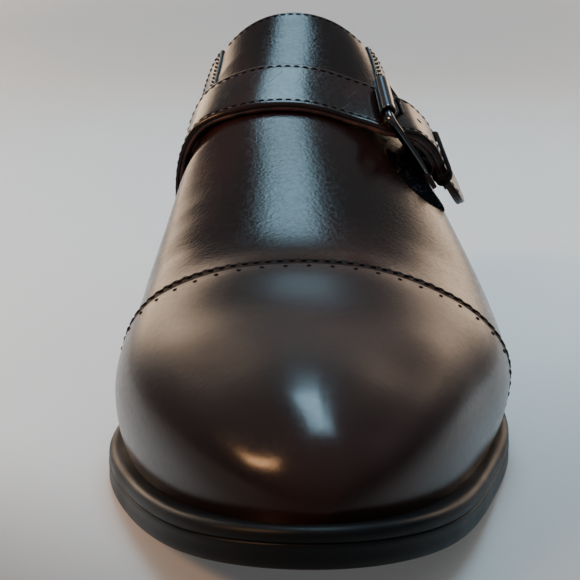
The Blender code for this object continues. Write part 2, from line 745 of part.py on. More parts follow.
def build_tab(buckle):
    """Leaf folded round the rear bar, its two ends laid together on the side of the shoe."""
    bore = REAR_BAR_RADIUS + GAP
    turns = [math.radians(turn) for turn in range(60, 301, 20)]
    closing_turns = [math.radians(330), math.radians(390)]
    points = []
    for across in (-TAB_WIDTH / 2, TAB_WIDTH / 2):
        along = buckle.point(across, FRAME_DEPTH)[1]
        for radius, placed in ((bore, turns + closing_turns), (bore + LEAF, turns)):
            for c, s in circle(placed):
                points.append(buckle.point(across, FRAME_DEPTH + radius * c, radius * s))
        points += [over_last(along, girth, TAB_LIFT[0]) for girth in TAB_GIRTHS]
        points += [over_last(along, girth, TAB_LIFT[1]) for girth in reversed(TAB_GIRTHS)]
    count = len(points) // 2
    inner = list(range(len(turns) + 2))
    arc = list(range(len(inner), len(inner) + len(turns)))
    tail = list(range(arc[-1] + 1, count))
    ends = len(tail) // 2
    collar = arc + [tail[0], tail[-1]]
    caps = [[inner[i - 1], inner[i], collar[i], collar[i - 1]] for i in range(len(inner))]
    caps += [[tail[i], tail[i + 1], tail[-i - 2], tail[-i - 1]] for i in range(ends - 1)]
    faces = caps + [[i + count for i in cap] for cap in caps]
    for edge in (inner, arc + tail):
        faces += [[edge[i - 1], edge[i], edge[i] + count, edge[i - 1] + count] for i in range(len(edge))]
    return solid("tab", points, faces, "leather_edge")


def circle(turns):
    return zip(np.cos(turns), np.sin(turns))


def keeper_loop(girth, out):
    """One edge of the keeper: flat along both faces of the strap and round past its edges."""
    half = STRAP["width"](girth) / 2 + GAP
    low = KEEPER_LIFT + KEEPER_WALL - out
    loop = []
    for side, turns in ((1, (90, 60, 30, 0, -30, -60, -90)), (-1, (-90, -60, -30, 0, 30, 60, 90))):
        for angle in np.radians(turns):
            share = 0.5 + side * (half + (KEEPER_ROUND + out) * math.cos(angle)) / STRAP["width"](girth)
            top = STRAP["lift"](girth) + STRAP["tilt"](girth) * (share - 0.5) + STRAP["thickness"](girth)
            lift = low + (top + GAP + out - low) * (1 + math.sin(angle)) / 2
            loop.append(over_last(strap_along(girth, share), girth, lift))
    return loop


def build_keeper():
    """Leather loop round the strap behind the buckle, deeper than the strap is thick."""
    first, last = KEEPER_GIRTHS
    loops = [keeper_loop(first, 0.0), keeper_loop(first, KEEPER_WALL)]
    loops += [keeper_loop(last, KEEPER_WALL), keeper_loop(last, 0.0)]
    return stack("keeper", loops, "leather_dark", ring=True)


def cut(target, cutter):
    cutter.hide_render = True
    cutter.display_type = "WIRE"
    modifier = target.modifiers.new(cutter.name, "BOOLEAN")
    modifier.object = cutter


def cut_hole(target, name, ends, radius):
    """Cuts a round hole along a straight line."""
    run = ends[1] - ends[0]
    normal = np.cross(run, (0.0, 0.0, 1.0))
    cut(target, tube(name, ends, radius, 12, "leather_edge", normal / np.linalg.norm(normal)))


def main():
    for old in list(bpy.data.objects):
        bpy.data.objects.remove(old, do_unlink=True)
    loop, out = outline()
    build_outsole(loop, out)
    build_welt(loop, out)
    build_heel(loop, out)
    build_insole(loop, out)
    build_upper()
    build_gore()
    buckle = Buckle()
    build_frame(buckle)
    build_roller(buckle)
    build_prong(buckle)
    build_keeper()
    strap = build_strap()
    line = [buckle.point(0, *place) for place in PRONG_LINE]
    cut(strap, tube("prong_hole", line, PRONG_RADIUS + GAP, 10, "leather_edge", buckle.across))
    second = [strap_point(SECOND_HOLE, 0.5, height) for height in (-3.0, 6.0)]
    cut_hole(strap, "second_hole", second, HOLE_RADIUS)
    half, front, rear, high = TAB_SLOT / 2, FRAME_DEPTH - 4, FRAME_DEPTH + 3.4, 4.0
    corners = ((front, -high), (rear, -high), (rear, high), (front, high))
    slot = [[buckle.point(across, back, up) for back, up in corners] for across in (-half, half)]
    cut(build_tab(buckle), stack("prong_slot", slot, "leather_edge", rungs=quad))


def quad(start, count):
    return [list(range(start, start + count))]


if __name__ == "__main__":
    main()
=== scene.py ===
"""Looks of a left cap-toe slip-on dress shoe with one strap over the instep and a roller buckle.

Lengths in the shoe's own shape functions are in millimetres. A place on the upper is given by a row and
a column. A row is the distance along the ridge from the back of the heel, and below HEEL_CENTRE it turns
round the heel. A column is 0 on the ridge of the instep, 1 at the widest level of the side and 2 at the
welt, negative on the medial side. World axes: +X lateral, -Y toward the toe, +Z up, sole on Z = 0.
"""

import math

import bmesh
import bpy
import numpy as np
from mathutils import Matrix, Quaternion, Vector

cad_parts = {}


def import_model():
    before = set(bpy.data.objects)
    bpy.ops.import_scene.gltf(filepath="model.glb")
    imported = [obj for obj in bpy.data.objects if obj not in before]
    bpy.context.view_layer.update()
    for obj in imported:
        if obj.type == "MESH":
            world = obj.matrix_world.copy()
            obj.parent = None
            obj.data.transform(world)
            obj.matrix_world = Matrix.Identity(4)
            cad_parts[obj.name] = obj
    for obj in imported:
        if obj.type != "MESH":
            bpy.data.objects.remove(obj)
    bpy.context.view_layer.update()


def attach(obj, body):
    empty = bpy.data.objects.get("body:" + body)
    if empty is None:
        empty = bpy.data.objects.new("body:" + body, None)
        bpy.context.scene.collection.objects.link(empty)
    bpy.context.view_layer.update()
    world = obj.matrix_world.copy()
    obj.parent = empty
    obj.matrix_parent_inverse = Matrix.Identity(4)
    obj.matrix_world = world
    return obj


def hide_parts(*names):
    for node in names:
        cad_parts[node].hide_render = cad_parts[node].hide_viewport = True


bl_info = {
    "name": "Strapped dress shoe",
    "version": (1, 0, 0),
    "blender": (4, 5, 0),
    "location": "View3D > Sidebar > Shoe",
    "description": "Builds the looks of a left slip-on dress shoe around its packed solids",
    "category": "Object",
}

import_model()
MM = 0.001
SHARP_ANGLE = 40.0
CENTRE_X = 0.44  # the world's origin, in the shoe's own lengths
CENTRE_ALONG = 148.25

# ---------------------------------------------------------------- sizes of the last, sole and upper

FEATHER_LENGTH = 292.0
TOE_START = 205.0
TOE_POWER = 2.8
TOE_REACH = FEATHER_LENGTH - TOE_START
TOE_TURN = 4.0  # how far the tip turns to the medial side
TOE_TURN_START = 200
FULLNESS_LIMIT = 0.45
HEEL_CENTRE = 55.0
HEEL_POWER = 2.3
HEEL_RISE = 24.0
HEEL_BREAST = 74.0
HEEL_TAPER = 1.6
LIFT_HEIGHT = 6.0
RISE_START = 45.0
TREAD_START = 178.0
TREAD_END = 212.0
TOE_SPRING = 10.0
OUTSOLE = 5.0
WELT = 3.5
FOOTBED = 1.2
INSOLE_INSET = 4.0
GAP = 0.3

WALL = 2.2
VAMP_LEATHER = 0.95  # thickness of the vamp, whose outer face is the last's own surface
LINING_DEPTH = 0.97  # how far the lining's outer face lies under that surface
LINING_ROUND = 0.5
OVERLAP = 0.7  # how far the cap and the quarters stand out from the vamp
CAP_UNDERSIDE = -0.3
QUARTER_CLEAR = 0.03  # how far the cap's edge and the quarters lie over the vamp
TONGUE_TOP = 105.1
QUARTER_MEDIAL = 148.0
QUARTER_LATERAL = 121.0
CAP_SEAM = 212.4
THROAT_ANGLE = 36.4
THROAT = THROAT_ANGLE / 90  # column of the quarters' upper edges
COLUMN_MM = 85.0  # length of one column at the throat
WELT_COLUMNS = [1.97, 2.0]  # at the lower end of every sheet
EDGE_COLUMNS = np.array([0.0, 0.05, 0.15, 0.32, 0.55, 0.85, 1.2, 1.6, 2.0, 2.4]) * 0.01
EDGE_ROUND = 0.6  # radius of the leather's rounded edges
PARED = 0.4  # how much thinner the quarters are at their front edges
PARED_REACH = 5.0
BACK_SEAM = 0.1  # rows nearer the heel's back than this lie on the seam, where the two halves meet
TOE_JOIN = 262.0  # row from which the rows crowd toward the toe's tip

# The toe box. Its rows are the start and length of a rise, then the end and length of a fall.
TOE_BOX_START = 211.0
TOE_BOX_STEP = 1.7
TOE_BOX_STEP_TURN = 9.0
TOE_BOX_STEP_REACH = 26.0
TOE_BOX_STEP_FLAT = 0.12
TOE_BOX_STEP_FALL = 0.4
TOE_BOX_LEAN = 2.6
TOE_BOX_LEAN_WIDTH = 0.4
TOE_BOX_LEAN_ROWS = (226, 22, 288, 16)
TOE_BOX_SHOULDER = 1.2
TOE_BOX_SHOULDER_BIAS = 0.4  # how much deeper the lateral side falls in, and the medial side less
TOE_BOX_SHOULDER_COLUMN = 0.38
TOE_BOX_SHOULDER_WIDTH = 0.3
TOE_BOX_SHOULDER_ROWS = (236, 32, 291, 12)

# middle row, slant, width, share of the depth, middle column, reach in columns
VAMP_CREASES = (
    (158.0, 3.0, 4.0, 0.7, -0.6, 0.4),
    (172.0, -4.0, 5.0, 0.85, -0.55, 0.4),
    (184.0, 2.0, 4.5, 1.0, -0.6, 0.4),
    (196.0, -2.0, 5.0, 1.0, -0.5, 0.5),
    (190.0, 3.0, 6.0, 0.6, 0.6, 0.4),
)

SEAM_REACH = 1.93  # column where the seams go in under the sole's bead
GROOVE_DEPTH = 0.16
GROOVE_WIDTH = 0.7
THREAD_SINK = 0.05
FINE_THREAD = {"thread": 0.2, "fill": 0.8}  # its radius, and the share of the pitch that a stitch fills
LONG_CAP_THREAD = {"thread": 0.32, "fill": 0.7}
SHORT_CAP_THREAD = {"thread": 0.28, "fill": 0.26}
STRAP_THREAD = {"thread": 0.25, "fill": 0.8}
CAP_EDGE = 3.4  # width of the cap's burnished rear edge
CAP_ROWS = (1.5, 4.6)
TOPLINE_ROWS = (1.7, 3.4)  # rows of stitches below the quarters' upper edges
FRONT_ROWS = (1.2, 2.9)  # and behind their front edges
SECOND_ROW_START = 90  # row from which the topline has its second row of stitches
TONGUE_ROW = 1.0
BACK_ROW = 1.3
BACK_ROW_TOP = 0.03  # columns below the throat
BAR_TACK_PLACE = 0.03
BAR_TACK_STEP = 0.011
HEEL_SINK = 0.5  # how far the stitches at the back seam are drawn into the leather

LAST_COLUMNS = "along medial lateral rise ridge_x crown bulge_medial bulge_lateral wide_height".split()
LAST_SECTIONS = (
    (0, 30.0, 31.0, 97.0, 0.0, 34.0, 2.0, 2.0, 18.0),
    (55, 30.0, 31.0, 97.0, 0.0, 34.0, 2.0, 2.0, 18.0),
    (90, 27.0, 34.0, 91.0, -1.0, 36.0, 5.0, 1.0, 19.5),
    (115, 26.0, 39.2, 81.7, -1.3, 43.0, 5.5, 1.0, 20.5),
    (140, 31.0, 43.5, 73.0, -5.6, 45.5, 3.0, 1.2, 23.5),
    (165, 39.6, 47.3, 62.5, -5.0, 46.0, 2.5, 2.0, 17.0),
    (190, 43.5, 47.4, 50.0, -5.0, 46.0, 2.5, 2.5, 13.0),
    (215, 45.5, 43.5, 41.0, -4.0, 47.0, 2.0, 2.5, 12.0),
    (240, 42.0, 36.5, 35.0, -3.5, 45.0, 1.5, 1.5, 11.0),
    (262, 37.5, 32.0, 33.0, -2.0, 41.0, 0.5, 0.5, 9.0),
    (292, 31.0, 26.0, 32.0, 0.0, 36.0, 0.0, 0.0, 6.0),
)
SWING_COLUMNS = "along medial lateral rake".split()
SWINGS = (
    (0, 0.0, 0.0, 0.0),
    (55, 0.0, 0.0, 0.0),
    (105, -3.5, -7.7, -6.0),
    (148, -11.4, -9.0, -14.0),
    (180, -11.4, -7.0, -8.0),
    (212, -11.0, -5.0, 0.0),
    (250, -4.0, -2.0, 0.0),
    (292, 0.0, 0.0, 0.0),
)
TOPLINE_COLUMNS = "along angle".split()
TOPLINE = (
    (0, 62.0),
    (25, 67.5),
    (45, 71.0),
    (60, 72.0),
    (72, 71.0),
    (84, 67.5),
    (93, 61.5),
    (99, 53.5),
    (103, 44.0),
    (105, THROAT_ANGLE),
)
HEEL_BACK_COLUMNS = "height along".split()
HEEL_BACK = ((0, 2.0), (20, -1.0), (40, 1.0), (62, 6.5))
MARGIN_COLUMNS = "along medial lateral".split()
MARGINS = (
    (0, 2.5, 2.5),
    (60, 2.5, 2.5),
    (120, 2.5, 2.5),
    (170, 3.0, 3.0),
    (205, 4.4, 3.5),
    (240, 4.9, 4.4),
    (265, 5.8, 5.6),
    (282, 6.6, 6.6),
    (292, 6.2, 6.2),
)

# ---------------------------------------------------------------- sizes of the strap and the buckle

STRAP_COLUMNS = "girth lift tilt thickness shift width".split()
STRAP_MIDDLE = 140.6
STRAP_PATH = (
    (-84, 1.3, 0.0, 1.5, -12.4, 17.4),
    (-70, 1.3, 0.0, 2.4, -11.0, 17.4),
    (-56, 1.3, 0.0, 2.6, -8.8, 17.4),
    (-44, 1.2, 0.0, 2.6, -6.5, 17.4),
    (-34, 1.2, 0.0, 2.6, -4.6, 17.5),
    (-22, 0.5, 0.0, 2.6, -2.6, 17.6),
    (-11, 0.4, 0.0, 2.6, -1.4, 17.7),
    (0, 0.4, 0.0, 2.6, -1.1, 17.8),
    (10, 0.4, 0.0, 2.6, -1.2, 17.8),
    (18, 0.5, 0.0, 2.6, -1.1, 17.9),
    (25, 1.3, 0.2, 2.6, -0.5, 18.6),
    (30, 2.6, 0.7, 2.6, 0.4, 19.6),
    (34, 3.7, 1.3, 2.6, 1.2, 20.4),
    (38, 5.1, 2.0, 2.7, 1.1, 20.2),
    (41.5, 6.1, 2.2, 2.8, 0.7, 19.7),
    (45, 6.2, 2.1, 2.8, -0.3, 19.4),
    (49, 5.9, 1.6, 2.8, -1.5, 19.2),
    (53, 5.25, 0.8, 2.7, -2.7, 19.0),
    (57, 4.5, 0.0, 2.4, -3.9, 18.8),
    (61, 4.15, -1.0, 2.1, -4.9, 18.4),
    (65, 4.4, -1.6, 2.3, -5.7, 18.2),
    (69, 4.9, -2.2, 2.4, -6.4, 18.2),
    (72, 5.3, -2.6, 2.5, -6.9, 18.2),
    (76, 5.8, -3.0, 2.5, -7.6, 18.2),
)
TAIL_ROUND = 65.0
TAIL_END = 74.3
SECOND_HOLE = 44.6
BUCKLE_FAR = (23.5, 131.4, 89.2)
BUCKLE_NEAR = (23.9, 155.7, 78.7)
REAR_BAR_END = (150.0, 52.2, 2.3)
BAR_RADIUS = 1.25
REAR_BAR_RADIUS = 1.0
FRAME_DEPTH = 20.8
FRAME_CORNER = 2.6
FRAME_BOW = 0.2
ROLLER_RADIUS = 2.25
ROLLER_LENGTH = 19.0
ROLLER_SHIFT = -1.0
ROLLER_PLAY = 0.22
ROLLER_LIP = 0.35
PRONG_RADIUS = 0.6
PRONG_GAP = 0.2
PRONG_LINE = ((17.0, 1.55), (12.0, 1.5), (8.0, 1.6), (5.0, 2.1), (3.0, 2.7), (1.7, 3.0))
HOLE_RADIUS = 1.0
LEAF = 0.7
TAB_WIDTH = 14.0
TAB_GIRTHS = (56.0, 59.0, 62.0)
TAB_LIFT = (0.35, 1.5)
TAB_SLOT = 2.8
KEEPER_GIRTHS = (56.3, 59.3)
KEEPER_WALL = 1.3
KEEPER_LIFT = 2.3
KEEPER_ROUND = 1.5
GORE_COLUMNS = "girth front".split()
GORE_EDGE = ((38, 157.0), (41, 161.5), (46, 164.5), (52, 163.0), (57, 159.0), (62, 153.5), (66, 149.5))
GORE_REAR = 148.6
GORE_RIB = 1.25
GORE_GIRTHS = (38.0, 65.0)
GORE_REACH = 0.84  # share of the opening that the elastic fills
GORE_RELIEF = (0.2, 0.3, 0.25)  # heights of the band, its ribs and the threads on them
STRAP_ROW = 1.5  # rows of stitches inside the strap's edges
STRAP_LOW_PROFILE = (
    (0.6, 0.0),
    (0.25, 0.05),
    (0.08, 0.16),
    (0.03, 0.3),
    (0.06, 0.4),
    (0.24, 0.45),
    (0.24, 0.5),
    (0.06, 0.55),
)
STRAP_TOP_PROFILE = (
    (0.0, 0.62),
    (0.04, 0.72),
    (0.14, 0.83),
    (0.32, 0.92),
    (0.6, 0.98),
    (0.95, 1.0),
    (1.2, 0.985),
    (STRAP_ROW, 0.95),
    (1.8, 0.985),
    (2.2, 1.0),
    (3.2, 1.01),
    (5.5, 1.02),
)
STRAP_START = -84.0
SEWN_ROWS = (-79.0, -74.0)
SEWN_END = -80.0  # girth where the strap's sewn end starts to round off
# girths of the dark sheet of painted shade under the strap
SHADE_SHEET_GIRTHS = (-82.0, 14.0)
GIRTH_MM = 0.8  # length of one degree of girth beside the buckle
LINING_RUN = ((36.0, 0.05), (44.0, 0.05), (52.0, 0.05), (58.0, 0.05), (64.0, 0.05))
TURNED_END = (
    (42.0, 0.5),
    (47.0, 0.55),
    (52.0, 0.6),
    (54.4, 0.75),
    (55.5, 1.4),
    (55.8, 2.3),
    (55.4, 3.2),
    (54.6, 3.7),
)


# ---------------------------------------------------------------- curves and the last


def spline(table):
    """Natural cubic splines through the columns of a table whose first column is the place."""
    rows = np.array(table, float)
    xs, ys = rows[:, 0], rows[:, 1:]
    step = np.diff(xs)
    count = len(xs)
    matrix = np.eye(count)
    right = np.zeros(ys.shape)
    for i in range(1, count - 1):
        matrix[i, i - 1 : i + 2] = step[i - 1], 2 * (step[i - 1] + step[i]), step[i]
        right[i] = 6 * ((ys[i + 1] - ys[i]) / step[i] - (ys[i] - ys[i - 1]) / step[i - 1])
    bend = np.linalg.solve(matrix, right)

    def curve(x, column):
        x = np.asarray(x, float)
        k = np.clip(np.searchsorted(xs, x) - 1, 0, count - 2)
        a = (xs[k + 1] - x) / step[k]
        b = 1 - a
        cubic = ((a**3 - a) * bend[k, column] + (b**3 - b) * bend[k + 1, column]) * step[k] ** 2 / 6
        return a * ys[k, column] + b * ys[k + 1, column] + cubic

    return curve


def curves(columns, table):
    """Each named column of a table as a function of the first."""
    curve = spline(table)
    return {name: (lambda x, i=i: curve(x, i)) for i, name in enumerate(columns[1:])}


LAST = curves(LAST_COLUMNS, LAST_SECTIONS)
SWING = curves(SWING_COLUMNS, SWINGS)
TOPLINE_AT = curves(TOPLINE_COLUMNS, TOPLINE)["angle"]
HEEL_BACK_AT = curves(HEEL_BACK_COLUMNS, HEEL_BACK)["along"]
MARGIN = curves(MARGIN_COLUMNS, MARGINS)
STRAP = curves(STRAP_COLUMNS, STRAP_PATH)
GORE_FRONT = curves(GORE_COLUMNS, GORE_EDGE)["front"]


def smooth(x):
    x = np.clip(x, 0.0, 1.0)
    return x**3 * (10 - 15 * x + 6 * x * x)


def bell(x, width):
    """1 at x = 0, falling to 0.14 at one width away."""
    return np.exp(-2 * (x / width) ** 2)


def closing(along):
    """1 along the shoe, falling to 0 at the tip of the toe."""
    reach = np.clip((along - TOE_START) / TOE_REACH, 0.0, 1.0)
    return np.sqrt(1 - reach**TOE_POWER)


def sole_bottom(along):
    heel = HEEL_RISE * (1 - smooth((along - RISE_START) / (TREAD_START - RISE_START)))
    return heel + TOE_SPRING * np.maximum((along - TREAD_END) / (FEATHER_LENGTH - TREAD_END), 0.0) ** 2


def feather(along):
    return sole_bottom(along) + OUTSOLE + WELT


def by_side(curve, along, side):
    return np.where(side > 0, curve["lateral"](along), curve["medial"](along))


def last_section(along, side, angle, share):
    """(x, z) of the last at a girth angle, and below the widest level at a share of its height."""
    close = closing(along)
    bulge = np.where(side > 0, LAST["bulge_lateral"](along), LAST["bulge_medial"](along)) * close
    ridge_x = LAST["ridge_x"](along) * close
    half = by_side(LAST, along, side) * close + bulge - side * ridge_x
    wide = LAST["wide_height"](along) * close
    turned = np.maximum((along - TOE_TURN_START) / (FEATHER_LENGTH - TOE_TURN_START), 0.0)
    lean = -TOE_TURN * turned**2
    psi = np.radians(angle)
    fullness = LAST["crown"](along) * close / np.maximum(half, 1e-6) - 1
    fullness = np.clip(fullness, -FULLNESS_LIMIT, FULLNESS_LIMIT)
    x = half * np.sin(psi) * (1 + fullness * np.cos(psi) ** 2)
    z = wide + (LAST["rise"](along) * close - wide) * np.cos(psi)
    x = np.where(share < 1, half - bulge * (1 - share) ** 2, x)
    z = np.where(share < 1, wide * share, z)
    return lean + ridge_x + side * x, feather(along) + z


def last_point(along, girth):
    """(x, along, z) of the last at a signed girth angle."""
    along, girth = np.broadcast_arrays(np.asarray(along, float), np.asarray(girth, float))
    x, z = last_section(along, np.where(girth < 0, -1, 1), np.abs(girth), np.ones_like(girth))
    return np.stack([x, along, z], axis=-1)


def over_last(along, girth, lift):
    """The point that is lift above the last, square to its upright section."""
    girth = np.asarray(girth, float)
    run = last_point(along, girth + 0.5) - last_point(along, girth - 0.5)
    normal = np.stack([-run[..., 2], np.zeros_like(run[..., 0]), run[..., 0]], axis=-1)
    normal /= np.linalg.norm(normal, axis=-1, keepdims=True)
    return last_point(along, girth) + np.asarray(lift)[..., None] * normal


def heel_turn(row):
    """Angle that a row has turned round the heel: 0 in front of its centre, a right angle at its back."""
    return (1 - np.minimum(row, HEEL_CENTRE) / HEEL_CENTRE) * math.pi / 2


def topline_angle(row):
    """Girth angle of the topline at a row."""
    turn = heel_turn(row)
    behind = HEEL_CENTRE * (1 - np.sin(turn) ** (2 / HEEL_POWER))
    return TOPLINE_AT(np.where(turn > 0, behind, np.maximum(row, HEEL_CENTRE)))


def upper_point(row, column):
    """(x, along, z) of the last under a place of the upper."""
    row, column = np.broadcast_arrays(np.asarray(row, float), np.asarray(column, float))
    side = np.where(column < 0, -1, 1)
    depth = np.abs(column)
    angle = 90 * np.minimum(depth, 1)
    share = 2 - np.maximum(depth, 1)
    along = np.maximum(row, HEEL_CENTRE)
    turn = heel_turn(row)
    power = 2 / HEEL_POWER
    edge = topline_angle(row)
    squeezed = 90 - (90 - angle) * (90 - edge) / (90 - THROAT_ANGLE)
    angle = np.where((row < TONGUE_TOP) & (depth < 1), squeezed, angle)
    swing = by_side(SWING, along, side)
    place = along + swing * np.sin(np.radians(angle)) ** 2
    place = place + np.where(share < 1, SWING["rake"](along) * smooth(1 - share), 0.0)
    x, z = last_section(place, side, angle, share)
    reach = HEEL_CENTRE - HEEL_BACK_AT(z - feather(HEEL_CENTRE))
    x = np.where(turn > 0, x * np.cos(turn) ** power, x)
    place = np.where(turn > 0, HEEL_CENTRE - reach * np.sin(turn) ** power, place)
    return np.stack([x, place, z], axis=-1)


def upper_normal(row, column):
    """Direction out of the shoe, square to the last."""
    row, column = np.broadcast_arrays(np.asarray(row, float), np.asarray(column, float))
    ahead, behind = np.minimum(row + 0.2, FEATHER_LENGTH - 0.01), np.maximum(row - 0.2, 0.0)
    ahead = np.where((row < TONGUE_TOP) & (ahead >= TONGUE_TOP), row, ahead)
    behind = np.where((row >= TONGUE_TOP) & (behind < TONGUE_TOP), row, behind)
    outer, inner = np.minimum(column + 0.004, 2.0), np.maximum(column - 0.004, -2.0)
    forward = upper_point(ahead, column) - upper_point(behind, column)
    across = upper_point(row, outer) - upper_point(row, inner)
    normal = np.cross(across, forward)
    return normal / np.linalg.norm(normal, axis=-1, keepdims=True)


def toe_box(row, column):
    """How far the upper stands off the last about the stiff toe box: a step beside the cap's seam, a crown
    that leans to the medial side, and shoulders that fall in a little."""
    row = np.asarray(row, float)
    ahead = row - TOE_BOX_START
    across = 1 - smooth((np.abs(column) - TOE_BOX_STEP_FLAT) / TOE_BOX_STEP_FALL)
    start, rise, end, fall = TOE_BOX_LEAN_ROWS
    crown = smooth((row - start) / rise) * smooth((end - row) / fall)
    lean = -TOE_BOX_LEAN * column * bell(column, TOE_BOX_LEAN_WIDTH) * crown
    beside = bell(np.abs(column) - TOE_BOX_SHOULDER_COLUMN, TOE_BOX_SHOULDER_WIDTH)
    shoulder = -TOE_BOX_SHOULDER * (1 + TOE_BOX_SHOULDER_BIAS * np.sign(column)) * beside
    start, rise, end, fall = TOE_BOX_SHOULDER_ROWS
    shoulder = shoulder * smooth((row - start) / rise) * smooth((end - row) / fall)
    step = TOE_BOX_STEP * np.tanh(ahead / TOE_BOX_STEP_TURN) * bell(ahead, TOE_BOX_STEP_REACH) * across
    return step + lean + shoulder


# ---------------------------------------------------------------- meshes


def world(points):
    points = np.asarray(points, float)
    x, along, z = np.moveaxis(points, -1, 0)
    return np.stack([(x - CENTRE_X) * MM, (CENTRE_ALONG - along) * MM, z * MM], axis=-1)


def add_object(name, data):
    made = bpy.data.objects.new(name, data)
    bpy.context.scene.collection.objects.link(made)
    return made


def mesh_piece(name, shape, finish, replaces=()):
    """One closed object from points in millimetres and faces. It rides on the shoe's one body."""
    points, faces = shape
    mesh = bpy.data.meshes.new(name)
    mesh.from_pydata(world(points).reshape(-1, 3).tolist(), [], faces)
    body = bmesh.new()
    body.from_mesh(mesh)
    bmesh.ops.remove_doubles(body, verts=body.verts, dist=1e-6)
    bmesh.ops.dissolve_degenerate(body, dist=1e-7, edges=body.edges)
    bmesh.ops.recalc_face_normals(body, faces=body.faces)
    body.to_mesh(mesh)
    body.free()
    mesh.shade_smooth()
    mesh.set_sharp_from_angle(angle=math.radians(SHARP_ANGLE))
    mesh.materials.append(finish_of(finish))
    made = add_object(name, mesh)
    if replaces:
        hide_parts(*replaces)
    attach(made, "root")
    return made


def grid_faces(rows, columns, start=0, flip=False):
    ids = np.arange(rows * columns).reshape(rows, columns) + start
    quads = np.stack([ids[:-1, :-1], ids[:-1, 1:], ids[1:, 1:], ids[1:, :-1]], axis=-1).reshape(-1, 4)
    return (quads[:, ::-1] if flip else quads).tolist()


def sheet(top, bottom):
    """Points and faces of a closed sheet between two grids."""
    rows, columns = top.shape[:2]
    layer = rows * columns
    faces = grid_faces(rows, columns) + grid_faces(rows, columns, layer, True)
    ids = np.arange(layer).reshape(rows, columns)
    border = np.concatenate([ids[0, :-1], ids[:-1, -1], ids[-1, :0:-1], ids[:0:-1, 0]])
    after = np.roll(border, -1)
    faces += np.stack([border, border + layer, after + layer, after], axis=-1).tolist()
    return np.concatenate([top.reshape(-1, 3), bottom.reshape(-1, 3)]), faces


def sweep(loops, closed=False):
    """Points and faces of a bar through closed loops of one length, with flat ends unless it is closed."""
    loops = np.asarray(loops)
    rings, count = loops.shape[:2]
    ids = np.arange(rings * count).reshape(rings, count)
    here = ids if closed else ids[:-1]
    ahead = np.roll(ids, -1, axis=0) if closed else ids[1:]
    quads = [here, np.roll(here, -1, axis=1), np.roll(ahead, -1, axis=1), ahead]
    faces = np.stack(quads, axis=-1).reshape(-1, 4).tolist()
    if not closed:
        faces += [ids[0, ::-1].tolist(), ids[-1].tolist()]
    return loops.reshape(-1, 3), faces


def joined(parts):
    """Several (points, faces) as one."""
    points, faces, start = [], [], 0
    for part_points, part_faces in parts:
        points.append(part_points)
        faces += [[i + start for i in face] for face in part_faces]
        start += len(part_points)
    return np.concatenate(points), faces


def unit(vectors):
    return vectors / np.linalg.norm(vectors, axis=-1, keepdims=True)


def circle(sides):
    return np.arange(sides) * 2 * math.pi / sides


def ring_bar(path, normals, radius, sides, closed=False):
    """A round bar along a path. Its sections stay square to the path, and turn with the normals."""
    path = np.asarray(path, float)
    if closed:
        run = np.roll(path, -1, axis=0) - np.roll(path, 1, axis=0)
    else:
        run = np.gradient(path, axis=0)
    across = unit(np.cross(unit(run), normals))
    up = np.cross(across, unit(run))
    turns = circle(sides)
    size = np.broadcast_to(radius, len(path))[:, None, None]
    ring = np.cos(turns)[None, :, None] * across[:, None] + np.sin(turns)[None, :, None] * up[:, None]
    return sweep(path[:, None] + size * ring, closed)


def path_lengths(path):
    return np.concatenate([[0], np.cumsum(np.linalg.norm(np.diff(path, axis=0), axis=1))])


def resampled(path, *others, step):
    """A path cut into even steps, with the other arrays read at the same places."""
    lengths = path_lengths(path)
    count = max(int(round(lengths[-1] / step)), 2)
    places = (np.arange(count) + 0.5) * lengths[-1] / count
    return [
        np.stack([np.interp(places, lengths, column) for column in values.T], axis=1)
        for values in (path, *others)
    ]


def stitches(path, normals, pitch, thread=0.24, fill=0.74):
    """Thread stitches along a seam: each one an arched capsule whose ends go into the leather."""
    points, ups = resampled(path, normals, step=pitch)
    run = unit(np.gradient(points, axis=0))
    ups = unit(ups - run * np.sum(ups * run, axis=1, keepdims=True))
    across = np.cross(run, ups)
    spine = np.linspace(-1, 1, 7)
    arch = np.sqrt(1 - spine**2 * 0.999)
    sizes = thread * (0.55 + 0.45 * arch)
    turns = circle(8)
    bars = []
    for point, forward, up, side in zip(points, run, ups, across):
        middle = point + np.outer(spine * pitch * fill / 2, forward)
        middle = middle + np.outer(thread * (1.5 * arch - 1.0), up)
        ring = np.cos(turns)[:, None] * side + np.sin(turns)[:, None] * up
        bars.append(sweep(middle[:, None] + sizes[:, None, None] * ring))
    return joined(bars)


# ---------------------------------------------------------------- finishes

# The floor's painted shade and painted glow: darker toward the front and the sides, pale in a wedge about
# the shoe.
FLOOR_SLANT = 0.5
FLOOR_APEX = (0.02, 0.1)  # where the pale wedge between the floor's painted shade opens: lateral, and forward of the middle
FLOOR_OPENING = 0.9
FLOOR_FRONT_SHADE = (-0.17, 0.03, 0.6, 1.0)  # painted shade toward the front: from and to, in metres, and the share of the pale tone at each
# painted shade toward the sides: from and to, in metres, and the share of the pale tone at each
FLOOR_SIDE_SHADE = (0.04, 0.15, 1.0, 0.3)
FLOOR_PAINTED_GLOW = 0.12


